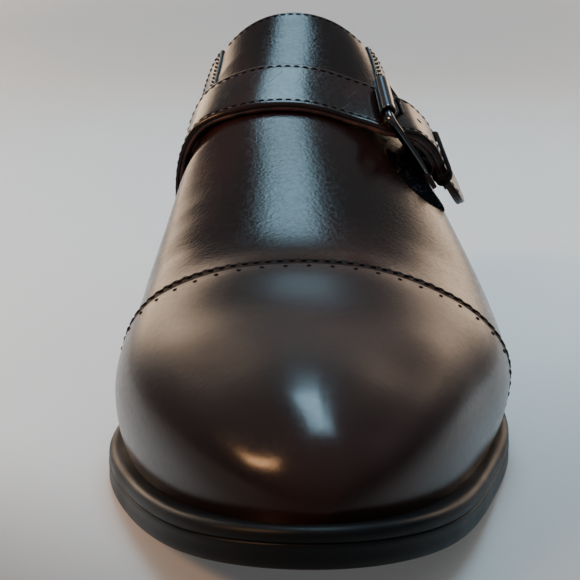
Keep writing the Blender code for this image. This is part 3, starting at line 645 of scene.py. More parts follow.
class Nodes:
    """A short way to lay out one material's nodes."""

    def __init__(self, name):
        self.material = bpy.data.materials.new(name)
        self.material.use_nodes = True
        self.tree = self.material.node_tree
        self.shader = self.tree.nodes["Principled BSDF"]
        self.place = self.new("ShaderNodeTexCoord").outputs["Object"]

    def new(self, kind, inputs=None, **settings):
        node = self.tree.nodes.new(kind)
        for key, value in settings.items():
            setattr(node, key, value)
        for name, value in (inputs or {}).items():
            self.feed(node.inputs[name], value)
        return node

    def feed(self, socket, value):
        if isinstance(value, bpy.types.NodeSocket):
            self.tree.links.new(value, socket)
        else:
            socket.default_value = value

    def noise(self, scale, detail=3.0, roughness=0.55, stretch=None, turn=(0.0, 0.0, 0.0)):
        place = self.placed(stretch, turn)
        inputs = {"Scale": scale, "Detail": detail, "Roughness": roughness, "Vector": place}
        return self.new("ShaderNodeTexNoise", inputs).outputs["Fac"]

    def placed(self, stretch, turn):
        """The object's own coordinates, turned and then stretched."""
        if stretch is None:
            return self.place
        turned = self.new("ShaderNodeMapping", {"Rotation": turn, "Vector": self.place}).outputs["Vector"]
        return self.new("ShaderNodeMapping", {"Scale": stretch, "Vector": turned}).outputs["Vector"]

    def cells(self, scale, feature="F1"):
        inputs = {"Scale": scale, "Vector": self.place}
        return self.new("ShaderNodeTexVoronoi", inputs, feature=feature).outputs["Distance"]

    def ramp(self, value, low, high, start=0.0, end=1.0):
        inputs = {"From Min": low, "From Max": high, "To Min": start, "To Max": end, "Value": value}
        return self.new("ShaderNodeMapRange", inputs, interpolation_type="SMOOTHSTEP").outputs["Result"]

    def math(self, operation, first, second=0.0):
        return self.new("ShaderNodeMath", {0: first, 1: second}, operation=operation).outputs["Value"]

    def mix(self, factor, first, second):
        node = self.new("ShaderNodeMix", data_type="RGBA")
        self.feed(node.inputs["Factor"], factor)
        for name, colour in (("A", first), ("B", second)):
            socket = [item for item in node.inputs if item.name == name and item.type == "RGBA"][0]
            self.feed(socket, colour if isinstance(colour, bpy.types.NodeSocket) else (*colour, 1.0))
        return [item for item in node.outputs if item.type == "RGBA"][0]

    def bump(self, height, distance, strength=1.0, below=None):
        inputs = {"Distance": distance, "Strength": strength, "Height": height}
        if below is not None:
            inputs["Normal"] = below
        return self.new("ShaderNodeBump", inputs).outputs["Normal"]

    def finish(self, colour, roughness, normal=None, **plain):
        """Joins the results to the shader. The plain values go on the shader's own sockets."""
        self.feed(self.shader.inputs["Base Color"], colour)
        self.feed(self.shader.inputs["Roughness"], roughness)
        if normal is not None:
            self.feed(self.shader.inputs["Normal"], normal)
        for name, value in plain.items():
            self.shader.inputs[name.replace("_", " ")].default_value = value
        return self.material


def scaled(colour, factor):
    return [factor * part for part in colour]


def leather_grain(nodes, depth, cell=1150.0):
    """Fine pebbled grain: pores of about a millimetre with smaller wrinkles between them."""
    pores = nodes.cells(cell, "SMOOTH_F1")
    wrinkles = nodes.noise(cell * 1.7, 3.0, 0.65)
    return nodes.bump(nodes.math("ADD", pores, wrinkles), 0.00005, depth)


def polished_leather(colours):
    """Box calf polished nearly black, with brown and oxblood showing through and a fine grain."""
    nodes = Nodes("polished_leather")
    broad = nodes.noise(14.0, 2.0)
    cloudy = nodes.noise(70.0, 4.0)
    dye = nodes.mix(nodes.ramp(broad, 0.35, 0.7), colours.leather, colours.oxblood)
    dye = nodes.mix(nodes.ramp(cloudy, 0.45, 0.8, 0.0, 0.5), dye, colours.leather_dark)
    soft = nodes.bump(nodes.noise(90.0, 2.0), 0.0002, 0.1, leather_grain(nodes, 0.7))
    roughness = nodes.ramp(nodes.noise(700.0, 4.0), 0.3, 0.75, 0.15, 0.26)
    return nodes.finish(dye, roughness, soft, IOR=1.34)


def cap_leather(colours):
    """The cap's leather: waxed and rubbed softer, so that its shine is broader."""
    nodes = Nodes("cap_leather")
    broad = nodes.noise(12.0, 2.0)
    dye = nodes.mix(nodes.ramp(broad, 0.35, 0.7), colours.leather, colours.oxblood)
    wax = nodes.noise(600.0, 4.0)
    return nodes.finish(dye, nodes.ramp(wax, 0.3, 0.75, 0.22, 0.27), leather_grain(nodes, 0.2), IOR=1.47)


def strap_leather(colours):
    """The same leather, more handled: fine slanting scratches in the polish."""
    nodes = Nodes("strap_leather")
    cloudy = nodes.noise(60.0, 4.0)
    dye = nodes.mix(nodes.ramp(cloudy, 0.35, 0.75), colours.leather, colours.oxblood)
    scratches = nodes.noise(230.0, 1.0, 0.5, stretch=(7.0, 0.2, 1.0), turn=(0.0, 0.0, 0.62))
    cuts = nodes.ramp(scratches, 0.66, 0.74)
    cut_marks = nodes.bump(cuts, 0.00001, 0.4, leather_grain(nodes, 0.45))
    polish = nodes.ramp(nodes.noise(700.0, 4.0), 0.3, 0.75, 0.16, 0.24)
    roughness = nodes.math("ADD", polish, nodes.math("MULTIPLY", cuts, 0.1))
    return nodes.finish(dye, roughness, cut_marks, IOR=1.4)


def edge_leather(colours):
    """Cut edges and plain undersides, painted red-brown."""
    nodes = Nodes("edge_leather")
    streaks = nodes.noise(240.0, 4.0, 0.6)
    dye = nodes.mix(nodes.ramp(streaks, 0.35, 0.7), colours.edge, colours.leather_dark)
    normal = nodes.bump(nodes.noise(700.0, 4.0), 0.00006, 0.5)
    return nodes.finish(dye, nodes.ramp(streaks, 0.3, 0.7, 0.3, 0.5), normal)


def burnished_edge_and_painted_shade(colours):
    """The cap's pared edge and the keeper, rubbed dark with the tool, with some red-brown left; it also
    darkens the sheet of painted shade under the strap.
    """
    nodes = Nodes("burnished_edge_and_painted_shade")
    streaks = nodes.noise(420.0, 4.0, 0.6)
    dye = nodes.mix(nodes.ramp(streaks, 0.45, 0.7), colours.leather_dark, colours.oxblood)
    normal = nodes.bump(nodes.noise(900.0, 4.0), 0.00006, 0.5)
    return nodes.finish(dye, nodes.ramp(streaks, 0.3, 0.7, 0.42, 0.58), normal, IOR=1.16)


def lining_leather(colours):
    """Tan lining, matt, with the marks of wear lighter and darker."""
    nodes = Nodes("lining_leather")
    cloudy = nodes.noise(40.0, 5.0, 0.6)
    dye = nodes.mix(nodes.ramp(cloudy, 0.3, 0.75), colours.lining, scaled(colours.lining, 0.62))
    pores = nodes.cells(1100.0)
    normal = nodes.bump(nodes.math("ADD", pores, nodes.noise(500.0, 4.0)), 0.00008, 0.5)
    return nodes.finish(dye, nodes.ramp(cloudy, 0.2, 0.8, 0.5, 0.68), normal)


def moulded_rubber(colours):
    """Black sole rubber with a satin skin from the mould."""
    nodes = Nodes("moulded_rubber")
    cloudy = nodes.noise(45.0, 4.0)
    tone = nodes.mix(nodes.ramp(cloudy, 0.3, 0.75), colours.rubber, scaled(colours.rubber, 1.6))
    speckle = nodes.noise(1300.0, 3.0, 0.6)
    normal = nodes.bump(speckle, 0.00004, 0.4, nodes.bump(nodes.noise(120.0, 3.0), 0.0001, 0.3))
    return nodes.finish(tone, nodes.ramp(cloudy, 0.3, 0.7, 0.38, 0.5), normal, IOR=1.27)


def ribbed_elastic(colours):
    """Black elastic webbing with pale flecks where its weave shows."""
    nodes = Nodes("ribbed_elastic")
    weave = nodes.noise(900.0, 3.0, 0.6, stretch=(1.0, 2.4, 1.0))
    flecks = nodes.noise(650.0, 2.0, 0.5, stretch=(1.0, 2.0, 1.6))
    tone = nodes.mix(nodes.ramp(flecks, 0.56, 0.66), colours.elastic, scaled(colours.elastic, 14.0))
    normal = nodes.bump(weave, 0.0002, 0.8)
    return nodes.finish(tone, nodes.ramp(weave, 0.3, 0.7, 0.75, 0.9), normal, IOR=1.12)


def waxed_thread(colours):
    """Dark waxed thread with its twist."""
    nodes = Nodes("waxed_thread")
    twist = nodes.noise(2600.0, 2.0, 0.5)
    tone = nodes.mix(nodes.ramp(twist, 0.35, 0.65), colours.thread, scaled(colours.thread, 0.4))
    normal = nodes.bump(twist, 0.00005, 0.6)
    return nodes.finish(tone, nodes.ramp(twist, 0.3, 0.7, 0.5, 0.65), normal, IOR=1.22)


def gunmetal(colours):
    """Dark plated metal, polished, worn brighter in places."""
    nodes = Nodes("gunmetal")
    worn = nodes.noise(180.0, 4.0, 0.6)
    tone = nodes.mix(nodes.ramp(worn, 0.45, 0.75), colours.metal, scaled(colours.metal, 2.0))
    brushed = nodes.noise(500.0, 3.0, 0.5, stretch=(1.0, 8.0, 1.0))
    normal = nodes.bump(brushed, 0.00002, 0.3)
    return nodes.finish(tone, nodes.ramp(worn, 0.3, 0.7, 0.46, 0.56), normal, Metallic=1.0)


def floor_with_painted_shade(colours):
    """Pale, with painted shade toward the front and the sides and a faint painted glow of its own, so that
    what the cap mirrors low down is dark."""
    nodes = Nodes("floor_with_painted_shade")
    axes = nodes.new("ShaderNodeSeparateXYZ", {"Vector": nodes.place})
    across, back = axes.outputs["X"], axes.outputs["Y"]
    # painted shade: the floor is darkened toward the front, and toward the sides outside a pale wedge
    front = nodes.math("SUBTRACT", back, nodes.math("MULTIPLY", across, FLOOR_SLANT))
    opening = nodes.math("MULTIPLY", nodes.math("ADD", back, FLOOR_APEX[1]), FLOOR_OPENING)
    beside = nodes.math("ABSOLUTE", nodes.math("SUBTRACT", across, FLOOR_APEX[0]))
    sides = nodes.ramp(nodes.math("SUBTRACT", beside, opening), *FLOOR_SIDE_SHADE)
    painted_light = nodes.math("MULTIPLY", nodes.ramp(front, *FLOOR_FRONT_SHADE), sides)
    pale = nodes.mix(nodes.noise(3.0, 2.0), colours.floor, scaled(colours.floor, 0.985))
    tone = nodes.mix(painted_light, (0.0, 0.0, 0.0), pale)
    # painted glow: the floor shines a little by itself where it is pale
    nodes.feed(nodes.shader.inputs["Emission Strength"], nodes.math("MULTIPLY", painted_light, FLOOR_PAINTED_GLOW))
    return nodes.finish(tone, 0.6, Emission_Color=(1.0, 1.0, 1.0, 1.0))


def finish_of(maker):
    """The material of one of the finishes, made once."""
    made = bpy.data.materials.get(maker.__name__)
    return made or maker(bpy.context.scene.shoe_colours)


# ---------------------------------------------------------------- upper


def rounded(distance, radius=EDGE_ROUND):
    """Height share of a sheet near an edge whose corner is rounded off."""
    away = np.clip(distance / radius, 0.0, 1.0)
    return 0.25 + 0.75 * np.sqrt(1 - (1 - away) ** 2)


def edge_steps(start, direction, radius=EDGE_ROUND):
    """Places that crowd toward a rounded edge."""
    return start + direction * radius * np.array([0.0, 0.06, 0.2, 0.42, 0.7, 1.0])


def spread(start, end, step):
    count = max(int(round(abs(end - start) / step)), 1)
    return start + (end - start) * np.arange(1, count + 1) / count


def toe_places(turns):
    """Places along the shoe at angles round the toe's outline."""
    return TOE_START + TOE_REACH * np.cos(turns) ** (2 / TOE_POWER)


def toe_rows(start):
    """Rows from a place on the cap to the toe's tip, closer together where the outline turns."""
    first = math.acos(((TOE_JOIN - TOE_START) / TOE_REACH) ** (TOE_POWER / 2))
    turns = np.linspace(first, 0.012, 36)[1:]
    return np.concatenate([spread(start, TOE_JOIN, 1.2), toe_places(turns)])


def seam_groove(distance):
    """The dip that a row of stitches pulls into the leather."""
    return -GROOVE_DEPTH * bell(distance, GROOVE_WIDTH)


def vamp_relief(row, column):
    """Soft creases across the vamp where the foot bends."""
    relief = np.zeros(np.broadcast(row, column).shape)
    for middle, swing, width, depth, centre, reach in VAMP_CREASES:
        place = row - middle - swing * column - 3.0 * (column - centre) ** 2
        fade = bell(column - centre, reach)
        fold = bell(place - width, width) * 0.6 - bell(place, width)
        relief += size("crease_depth") * depth * fade * fold
    return relief


def upper_sheet(rows, columns, outer, inner, tip=False):
    """Points and faces of a leather sheet on the last, with its heights given for each row and column."""
    grid_rows, grid_columns = np.meshgrid(rows, columns, indexing="ij")
    base = upper_point(grid_rows, grid_columns)
    normal = upper_normal(grid_rows, grid_columns)
    low = np.abs(grid_columns) > 1.999
    normal[low, 2] = 0.0
    normal = unit(normal)
    base[low, 2] -= GAP + 0.05
    lift = toe_box(grid_rows, grid_columns)
    top = base + (outer + lift)[..., None] * normal
    bottom = base + (inner + lift)[..., None] * normal
    if rows[0] < BACK_SEAM:
        top[0, :, 0] = bottom[0, :, 0] = 0.0
    if tip:
        top[-1] = top[-1].mean(axis=0)
        bottom[-1] = bottom[-1].mean(axis=0)
    return sheet(top, bottom)


def whole_columns(step=0.0165):
    half = np.concatenate([spread(0.0, 1.0, step), spread(1.0, 1.9, step * 3), WELT_COLUMNS])
    return np.concatenate([-half[::-1], [0.0], half])


def build_vamp():
    """Vamp with its tongue in one piece, running under the cap and the quarters."""
    rows = np.concatenate([edge_steps(TONGUE_TOP, 1), spread(TONGUE_TOP + EDGE_ROUND, CAP_SEAM + 4, 1.2)])
    columns = whole_columns()
    row, column = np.meshgrid(rows, columns, indexing="ij")
    from_edge = row - TONGUE_TOP
    outer = vamp_relief(row, column) * smooth((row - 150) / 20) + seam_groove(from_edge - TONGUE_ROW)
    outer = -VAMP_LEATHER + (outer + VAMP_LEATHER) * rounded(from_edge)
    shape = upper_sheet(rows, columns, outer, -VAMP_LEATHER)
    return mesh_piece("vamp", shape, polished_leather, ["upper"])


def build_toe_cap():
    """Plain cap stitched over the vamp."""
    start = CAP_SEAM + CAP_EDGE
    rows = np.concatenate([[start], spread(start, CAP_SEAM + 6, 0.2), toe_rows(CAP_SEAM + 6)])
    columns = whole_columns()
    row, column = np.meshgrid(rows, columns, indexing="ij")
    outer = OVERLAP + 0.08 * seam_groove(row - CAP_SEAM - CAP_ROWS[1])
    shape = upper_sheet(rows, columns, outer, CAP_UNDERSIDE, tip=True)
    return mesh_piece("toe_cap", shape, cap_leather, ["upper"])


def cap_seam_turns(columns):
    """How many stitches of the cap's first row lie before each column."""
    across = np.linspace(-SEAM_REACH, SEAM_REACH, 400)
    path, _ = seam_on_upper(CAP_SEAM + CAP_ROWS[0], across, OVERLAP)
    lengths = path_lengths(path)
    return np.interp(columns, across, lengths) * round(lengths[-1] / size("cap_stitch")) / lengths[-1]


def build_cap_edge():
    """The cap's rear margin, pared, burnished dark and puckered by its stitches."""
    end = CAP_SEAM + CAP_EDGE
    rows = np.concatenate([edge_steps(CAP_SEAM, 1), spread(CAP_SEAM + EDGE_ROUND, end, 0.15), [end]])
    columns = whole_columns(0.0045)
    row, column = np.meshgrid(rows, columns, indexing="ij")
    from_edge = row - CAP_SEAM
    between = np.cos(math.pi * cap_seam_turns(column)) ** 2
    pucker = 0.3 * between * bell(from_edge - 0.9, 1.3)
    full = OVERLAP + 1.6 * seam_groove(from_edge - CAP_ROWS[0]) * (1 - 0.6 * between) + pucker
    outer = QUARTER_CLEAR + (full - QUARTER_CLEAR) * rounded(from_edge)
    shape = upper_sheet(rows, columns, outer, CAP_UNDERSIDE)
    return mesh_piece("cap_edge", shape, burnished_edge_and_painted_shade, ["upper"])


def pared(from_front):
    """How much a quarter's leather is thinned near its front edge."""
    return PARED * (1 - smooth(from_front / PARED_REACH))


def below_edge(row, column):
    """Distance of a place below the quarters' upper edge."""
    return (column - THROAT) * COLUMN_MM * np.where(row < TONGUE_TOP, topline_squeeze(row), 1.0)


def side_columns(crowded, upper_step, lower_step):
    """Columns of a side's sheet, from the quarters' upper edge, where they crowd, to the welt."""
    top = THROAT + EDGE_COLUMNS[:crowded]
    upper, lower = spread(top[-1], 1.0, upper_step), spread(1.0, 1.9, lower_step)
    return np.concatenate([top, upper, lower, WELT_COLUMNS])


def build_quarter(name, side, front):
    """One quarter, from the back seam to its front edge over the vamp."""
    heel = spread(0.0, HEEL_CENTRE, 1.4)
    rows = np.concatenate([[0.02], heel, spread(HEEL_CENTRE, TONGUE_TOP - 0.02, 1.2), [TONGUE_TOP]])
    rows = np.concatenate([rows, spread(TONGUE_TOP, front - EDGE_ROUND, 1.2), edge_steps(front, -1)[-2::-1]])
    columns = side_columns(10, 0.02, 0.06)
    row, column = np.meshgrid(rows, columns, indexing="ij")
    from_top = below_edge(row, column)
    from_front = front - row
    inner = np.where(row < TONGUE_TOP, -VAMP_LEATHER, QUARTER_CLEAR)
    grooves = (from_top - TOPLINE_ROWS[0], from_front - FRONT_ROWS[0])
    full = OVERLAP - pared(from_front) + seam_groove(grooves[0]) + seam_groove(grooves[1])
    outer = inner + (full - inner) * np.minimum(rounded(from_top), rounded(from_front))
    shape = upper_sheet(rows, columns * side, outer, inner)
    return mesh_piece(name, shape, polished_leather, ["upper"])


def topline_squeeze(row):
    """How much closer the columns lie where the topline is low."""
    return (90 - topline_angle(row)) / (90 - THROAT_ANGLE)


def lining_sheet(rows, columns, distance, tip=False):
    """One sheet of the lining, rounded where it ends at a distance of 0."""
    trimmed = LINING_ROUND * (1 - rounded(distance))
    return upper_sheet(rows, columns, -LINING_DEPTH - trimmed, -WALL + trimmed, tip)


def build_lining():
    """Lining of the whole upper: one sheet in front of the throat and one on each side behind it."""
    rows = np.concatenate([edge_steps(TONGUE_TOP, 1), spread(TONGUE_TOP + EDGE_ROUND, CAP_SEAM, 2.0)])
    rows = np.concatenate([rows, toe_rows(CAP_SEAM)[::2]])
    columns = whole_columns(0.03)
    row, _ = np.meshgrid(rows, columns, indexing="ij")
    parts = [lining_sheet(rows, columns, row - TONGUE_TOP, tip=True)]
    heel = spread(0.0, HEEL_CENTRE, 2.0)
    rows = np.concatenate([[0.02], heel, spread(HEEL_CENTRE, TONGUE_TOP - 0.02, 1.6)])
    columns = side_columns(6, 0.03, 0.08)
    row, column = np.meshgrid(rows, columns, indexing="ij")
    distance = (column - THROAT) * COLUMN_MM * topline_squeeze(row)
    parts += [lining_sheet(rows, columns * side, distance) for side in (-1, 1)]
    return mesh_piece("lining", joined(parts), lining_leather, ["upper"])


def seam_on_upper(rows, columns, lift):
    """A seam's line and its normals, from the rows and columns that it runs through."""
    rows, columns = np.broadcast_arrays(np.asarray(rows, float), np.asarray(columns, float))
    normal = upper_normal(rows, columns)
    lift = np.asarray(lift) + toe_box(rows, columns)
    return upper_point(rows, columns) + lift[..., None] * normal, normal


def column_below(row, distance):
    """The column that is a distance below the quarters' upper edge."""
    return THROAT + distance / (COLUMN_MM * np.where(row < TONGUE_TOP, topline_squeeze(row), 1.0))


def build_cap_stitches():
    """The cap's two rows: long stitches that pucker its edge, and short ones that hardly show."""
    across = np.linspace(-SEAM_REACH, SEAM_REACH, 400)
    path, up = seam_on_upper(CAP_SEAM + CAP_ROWS[0], across, OVERLAP - 0.1)
    bars = [stitches(path, up, size("cap_stitch"), **LONG_CAP_THREAD)]
    path, up = seam_on_upper(CAP_SEAM + CAP_ROWS[1], across, OVERLAP - 0.12)
    bars.append(stitches(path, up, 2 * size("cap_stitch"), **SHORT_CAP_THREAD))
    mesh_piece("cap_stitches", joined(bars), waxed_thread)


def quarter_stitches(side, front):
    """One quarter's rows along the topline, behind its front edge and beside the back seam."""
    face = OVERLAP - THREAD_SINK
    bars = []
    rows = np.linspace(0.5, front - 1.4, 500)
    for distance, start in zip(TOPLINE_ROWS, (0, SECOND_ROW_START)):
        chosen = rows[rows > start]
        sunk = HEEL_SINK * (1 - smooth(chosen / 12.0))
        path, up = seam_on_upper(chosen, side * column_below(chosen, distance), face - sunk)
        bars.append(stitches(path, up, size("topline_stitch")))
    columns = np.linspace(column_below(front, TOPLINE_ROWS[0]), SEAM_REACH, 300)
    for distance in FRONT_ROWS:
        lift = OVERLAP - pared(distance) - THREAD_SINK
        path, up = seam_on_upper(front - distance, side * columns, lift)
        bars.append(stitches(path, up, size("edge_stitch"), **FINE_THREAD))
    columns = np.linspace(THROAT + BACK_ROW_TOP, SEAM_REACH, 200)
    path, up = seam_on_upper(np.full(200, BACK_ROW), side * columns, face - HEEL_SINK)
    bars.append(stitches(path, up, size("topline_stitch")))
    return bars


def build_upper_stitches():
    """Rows of stitches on the quarters and the tongue's top, and the bar tack on the medial throat."""
    bars = quarter_stitches(-1, QUARTER_MEDIAL) + quarter_stitches(1, QUARTER_LATERAL)
    path, up = seam_on_upper(TONGUE_TOP + TONGUE_ROW, np.linspace(-0.37, 0.37, 200), -THREAD_SINK)
    bars.append(stitches(path, up, size("edge_stitch"), **FINE_THREAD))
    for column in -THROAT - BAR_TACK_PLACE - BAR_TACK_STEP * np.arange(6):
        path, up = seam_on_upper(np.linspace(QUARTER_MEDIAL - 2.4, QUARTER_MEDIAL + 1.6, 12), column, 0.55)
        bars.append(stitches(path, up, 4.0, thread=0.2, fill=0.95))
    mesh_piece("upper_stitches", joined(bars), waxed_thread)


# ---------------------------------------------------------------- sole


def heel_edge(turn, side):
    x, _ = last_section(HEEL_CENTRE, side, 90.0, 0.0)
    reach = HEEL_CENTRE - HEEL_BACK_AT(0)
    power = 2 / HEEL_POWER
    return x * np.cos(turn) ** power, HEEL_CENTRE - reach * np.sin(turn) ** power


def sole_outline():
    """Line where the upper meets the sole, as (x, along), from the toe's tip round the lateral side to the
    heel and back, with its outward directions and the sole's margin there."""
    alongs = toe_places(np.radians(np.linspace(0, 84, 43)))
    for start, end in ((alongs[-1], HEEL_BREAST), (HEEL_BREAST, HEEL_CENTRE + 2)):
        alongs = np.concatenate([alongs, spread(start, end, 2.5)])
    turns = np.radians(np.linspace(0, 88, 34))
    halves = []
    for side in (1, -1):
        x, _ = last_section(alongs, side, 90.0, np.zeros_like(alongs))
        front = np.stack([x, alongs], axis=1)
        back = np.stack(heel_edge(turns, side), axis=1)
        halves.append(np.concatenate([front, back]))
    loop = np.concatenate([halves[0], [heel_edge(math.pi / 2, 1)], halves[1][:0:-1]])
    run = np.roll(loop, -1, axis=0) - np.roll(loop, 1, axis=0)
    out = unit(np.stack([-run[:, 1], run[:, 0]], axis=1))
    half = len(loop) // 2
    order = np.arange(len(loop))
    lateral, medial = MARGIN["lateral"](loop[:, 1]), MARGIN["medial"](loop[:, 1])
    margin = np.where(order < half, lateral, medial)
    margin[[0, half]] = (lateral + medial)[[0, half]] / 2
    return loop, out, margin


def level(outline, inset, height, fixed=None):
    """The outline at a height above the sole's underside, moved out by the margin less an inset."""
    loop, out, margin = outline
    reach = margin - inset if fixed is None else np.full(len(loop), fixed - inset)
    moved = loop + out * reach[:, None]
    return np.concatenate([moved, (sole_bottom(moved[:, 1]) + height)[:, None]], axis=1)


def rungs(count, start, flip=False):
    """Quads across a loop whose point i lies across from point count - i."""
    faces = [[start, start + 1, start + count - 1]]
    for i in range(1, count // 2 - 1):
        faces.append([start + i, start + i + 1, start + count - i - 1, start + count - i])
    half = start + count // 2
    faces.append([half - 1, half, half + 1])
    return [face[::-1] for face in faces] if flip else faces


def capped(loops):
    """Points and faces through a stack of outline loops, with ruled caps."""
    points, faces = sweep(loops)
    count = len(loops[0])
    faces = faces[:-2]
    faces += rungs(count, 0) + rungs(count, (len(loops) - 1) * count, True)
    return points, faces


def build_outsole(outline):
    """Moulded unit: a rounded lower edge, a slightly hollow side and a soft lip under the bead."""
    lower = [(1.6, 0.0), (0.9, 0.08), (0.45, 0.3), (0.2, 0.7), (0.08, 1.3)]
    side = [(0.12, 2.2), (0.18, 3.0), (0.16, 3.7)]
    lip = [(0.08, 4.2), (0.1, 4.6), (0.17, 4.88), (0.35, 5.05), (1.0, 5.12)]
    loops = [level(outline, inset, height) for inset, height in lower + side + lip]
    return mesh_piece("sole_unit", capped(loops), moulded_rubber, ["outsole"])


def build_bead(outline):
    """Raised bead round the edge of the sole, as a welt would be."""
    profile = [(1.3, 5.0), (0.55, 5.1), (0.34, 5.25), (0.22, 5.6), (0.18, 6.2), (0.24, 6.8)]
    profile += [(0.45, 7.3), (0.85, 7.75), (1.35, 8.03), (1.9, 8.15), (2.6, 8.12), (3.2, 8.0)]
    loops = [level(outline, inset, height) for inset, height in profile]
    loops += [level(outline, 0.0, height, -INSOLE_INSET + GAP) for height in (8.0, 5.0)]
    return mesh_piece("sole_bead", sweep(loops, closed=True), moulded_rubber, ["welt"])


def build_sock(outline):
    """Leather sock on the insole, a little crowned."""
    top = OUTSOLE + WELT + FOOTBED
    loops = [level(outline, 0.0, OUTSOLE + GAP, -INSOLE_INSET)]
    profile = ((0.0, top - 0.7), (0.12, top - 0.35), (0.4, top - 0.1), (0.9, top), (8.0, top + 0.05))
    loops += [level(outline, inset, height, -INSOLE_INSET) for inset, height in profile]
    return mesh_piece("sock", capped(loops), lining_leather, ["insole"])


def build_heel_block(outline):
    """Heel with a flat breast, a hollowed side and a line above its top lift."""
    profile = [(HEEL_TAPER + 1.0, 0.0), (HEEL_TAPER + 0.4, 0.12), (HEEL_TAPER + 0.05, 0.5)]
    profile += [(HEEL_TAPER, 1.0)]
    profile += [(HEEL_TAPER - 0.1, LIFT_HEIGHT - 0.6), (HEEL_TAPER, LIFT_HEIGHT - 0.25)]
    profile += [(HEEL_TAPER + 0.5, LIFT_HEIGHT), (HEEL_TAPER, LIFT_HEIGHT + 0.25)]
    profile += [(HEEL_TAPER - 0.1, LIFT_HEIGHT + 0.6), (1.15, 10.0), (0.8, 13.0), (0.5, 16.5), (0.3, 20.0)]
    profile += [(0.3, None)]
    loop, out, margin = outline
    chosen = np.flatnonzero(loop[:, 1] <= HEEL_BREAST + 0.01)
    loops = []
    for inset, height in profile:
        places = (loop + out * (margin - inset)[:, None])[chosen]
        places[:, 1] = np.minimum(places[:, 1], HEEL_BREAST)
        z = sole_bottom(places[:, 1]) + 0.05 if height is None else np.full(len(places), height)
        loops.append(np.concatenate([places, z[:, None]], axis=1))
    count = len(chosen)
    points, faces = sweep(loops)
    faces = faces[:-2]
    for start, flip in ((0, False), ((len(loops) - 1) * count, True)):
        for i in range(count // 2):
            j = count - 1 - i
            face = list(dict.fromkeys([start + i, start + i + 1, start + j - 1, start + j]))
            faces.append(face[::-1] if flip else face)
    return mesh_piece("heel_block", (points, faces), moulded_rubber, ["heel"])


# ---------------------------------------------------------------- strap and gore


def strap_along(girth, share):
    return STRAP_MIDDLE + STRAP["shift"](girth) + (share - 0.5) * STRAP["width"](girth)


def strap_point(girth, share, height):
    """A point of the strap: share runs across it from its rear edge 0 to its front edge 1, and height is
    above its underside."""
    lift = STRAP["lift"](girth) + STRAP["tilt"](girth) * (share - 0.5)
    return over_last(strap_along(girth, share), girth, lift + height)


def strap_section(girth, narrow):
    """One loop round the strap: two layers glued face to face, their edges painted."""
    width = STRAP["width"](girth)
    half = width * narrow / 2
    rising = STRAP_LOW_PROFILE + STRAP_TOP_PROFILE
    loop = [(-1, place) for place in rising + ((half, 1.03),)] + [(1, place) for place in rising[::-1]]
    shares = [0.5 + sign * (half - min(inset, half)) / width for sign, (inset, _) in loop]
    heights = [height * STRAP["thickness"](girth) for _, (_, height) in loop]
    return strap_point(girth, np.array(shares), np.array(heights))


def build_strap():
    """Strap with its rounded tail, the place where the prong goes through it and the next hole."""
    runs = ((STRAP_START, SEWN_END, 0.4), (SEWN_END, 20.0, 0.9), (20.0, TAIL_ROUND, 0.6))
    girths = np.concatenate([spread(*run) for run in runs])
    tail = TAIL_ROUND + (TAIL_END - TAIL_ROUND) * np.sin(np.radians(np.arange(4, 88, 4)))
    loops = []
    for girth in np.concatenate([girths, tail]):
        end = max((girth - TAIL_ROUND) / (TAIL_END - TAIL_ROUND), (SEWN_END - girth) / 5, 0.0)
        loops.append(strap_section(girth, math.sqrt(max(1 - end**2, 0.0))))
    strap = mesh_piece("strap_leather", sweep(loops), strap_leather, ["strap"])
    paint_edges(strap)
    buckle = Buckle()
    line = [buckle.point(0, *place) for place in PRONG_LINE]
    line = [line[0] + (line[0] - line[1]) * 0.2] + line
    cut(strap, ring_bar(line, buckle.across, PRONG_RADIUS + 0.2, 20))
    ends = strap_point(SECOND_HOLE, np.full(9, 0.5), np.linspace(-3.0, 6.0, 9))
    cut(strap, ring_bar(ends, (0.0, 1.0, 0.0), HOLE_RADIUS, 24))


def paint_edges(strap):
    """Gives the painted edge's finish to the strap's sides and underside, below its top's rounded corner."""
    strap.data.materials.append(finish_of(edge_leather))
    count = len(STRAP_LOW_PROFILE)
    around = 2 * (count + len(STRAP_TOP_PROFILE)) + 1
    low = set(range(count)) | set(range(around - count, around))
    for face in strap.data.polygons:
        if len(face.vertices) == 4 and all(corner % around in low for corner in face.vertices):
            face.material_index = 1


def cut(target, shape):
    """Cuts a closed shape out of a piece, and leaves no cutter behind."""
    points, faces = shape
    cutter = add_object("cutter", bpy.data.meshes.new("cutter"))
    cutter.data.from_pydata(world(points).tolist(), [], faces)
    body = bmesh.new()
    body.from_mesh(cutter.data)
    bmesh.ops.recalc_face_normals(body, faces=body.faces)
    body.to_mesh(cutter.data)
    body.free()
    modifier = target.modifiers.new("hole", "BOOLEAN")
    modifier.object = cutter
    modifier.solver = "EXACT"
    graph = bpy.context.evaluated_depsgraph_get()
    result = bpy.data.meshes.new_from_object(target.evaluated_get(graph))
    target.modifiers.clear()
    target.data = result
    bpy.data.objects.remove(cutter, do_unlink=True)


def averaged(values, count):
    """A line smoothed by a running mean."""
    padded = np.pad(values, count // 2, mode="edge")
    return np.convolve(padded, np.ones(count) / count, mode="valid")


def lining_layer(knots, thick):
    """A layer below the strap, along a path of girths and drops."""
    knots = np.array(knots)
    places = np.linspace(0, len(knots) - 1, 80)
    path = [averaged(np.interp(places, np.arange(len(knots)), column), 9) for column in knots.T]
    path = np.stack(path, axis=1)
    run = np.gradient(path, axis=0) * (GIRTH_MM, 1.0)
    below = path + thick * unit(np.stack([-run[:, 1], run[:, 0]], axis=1)) / (GIRTH_MM, 1.0)
    sides = []
    for line in (path, below):
        girth, share = np.meshgrid(line[:, 0], np.linspace(0.05, 0.965, 12), indexing="ij")
        sides.append(strap_point(girth, share, np.broadcast_to(-line[:, 1:], girth.shape)))
    return sheet(*sides)


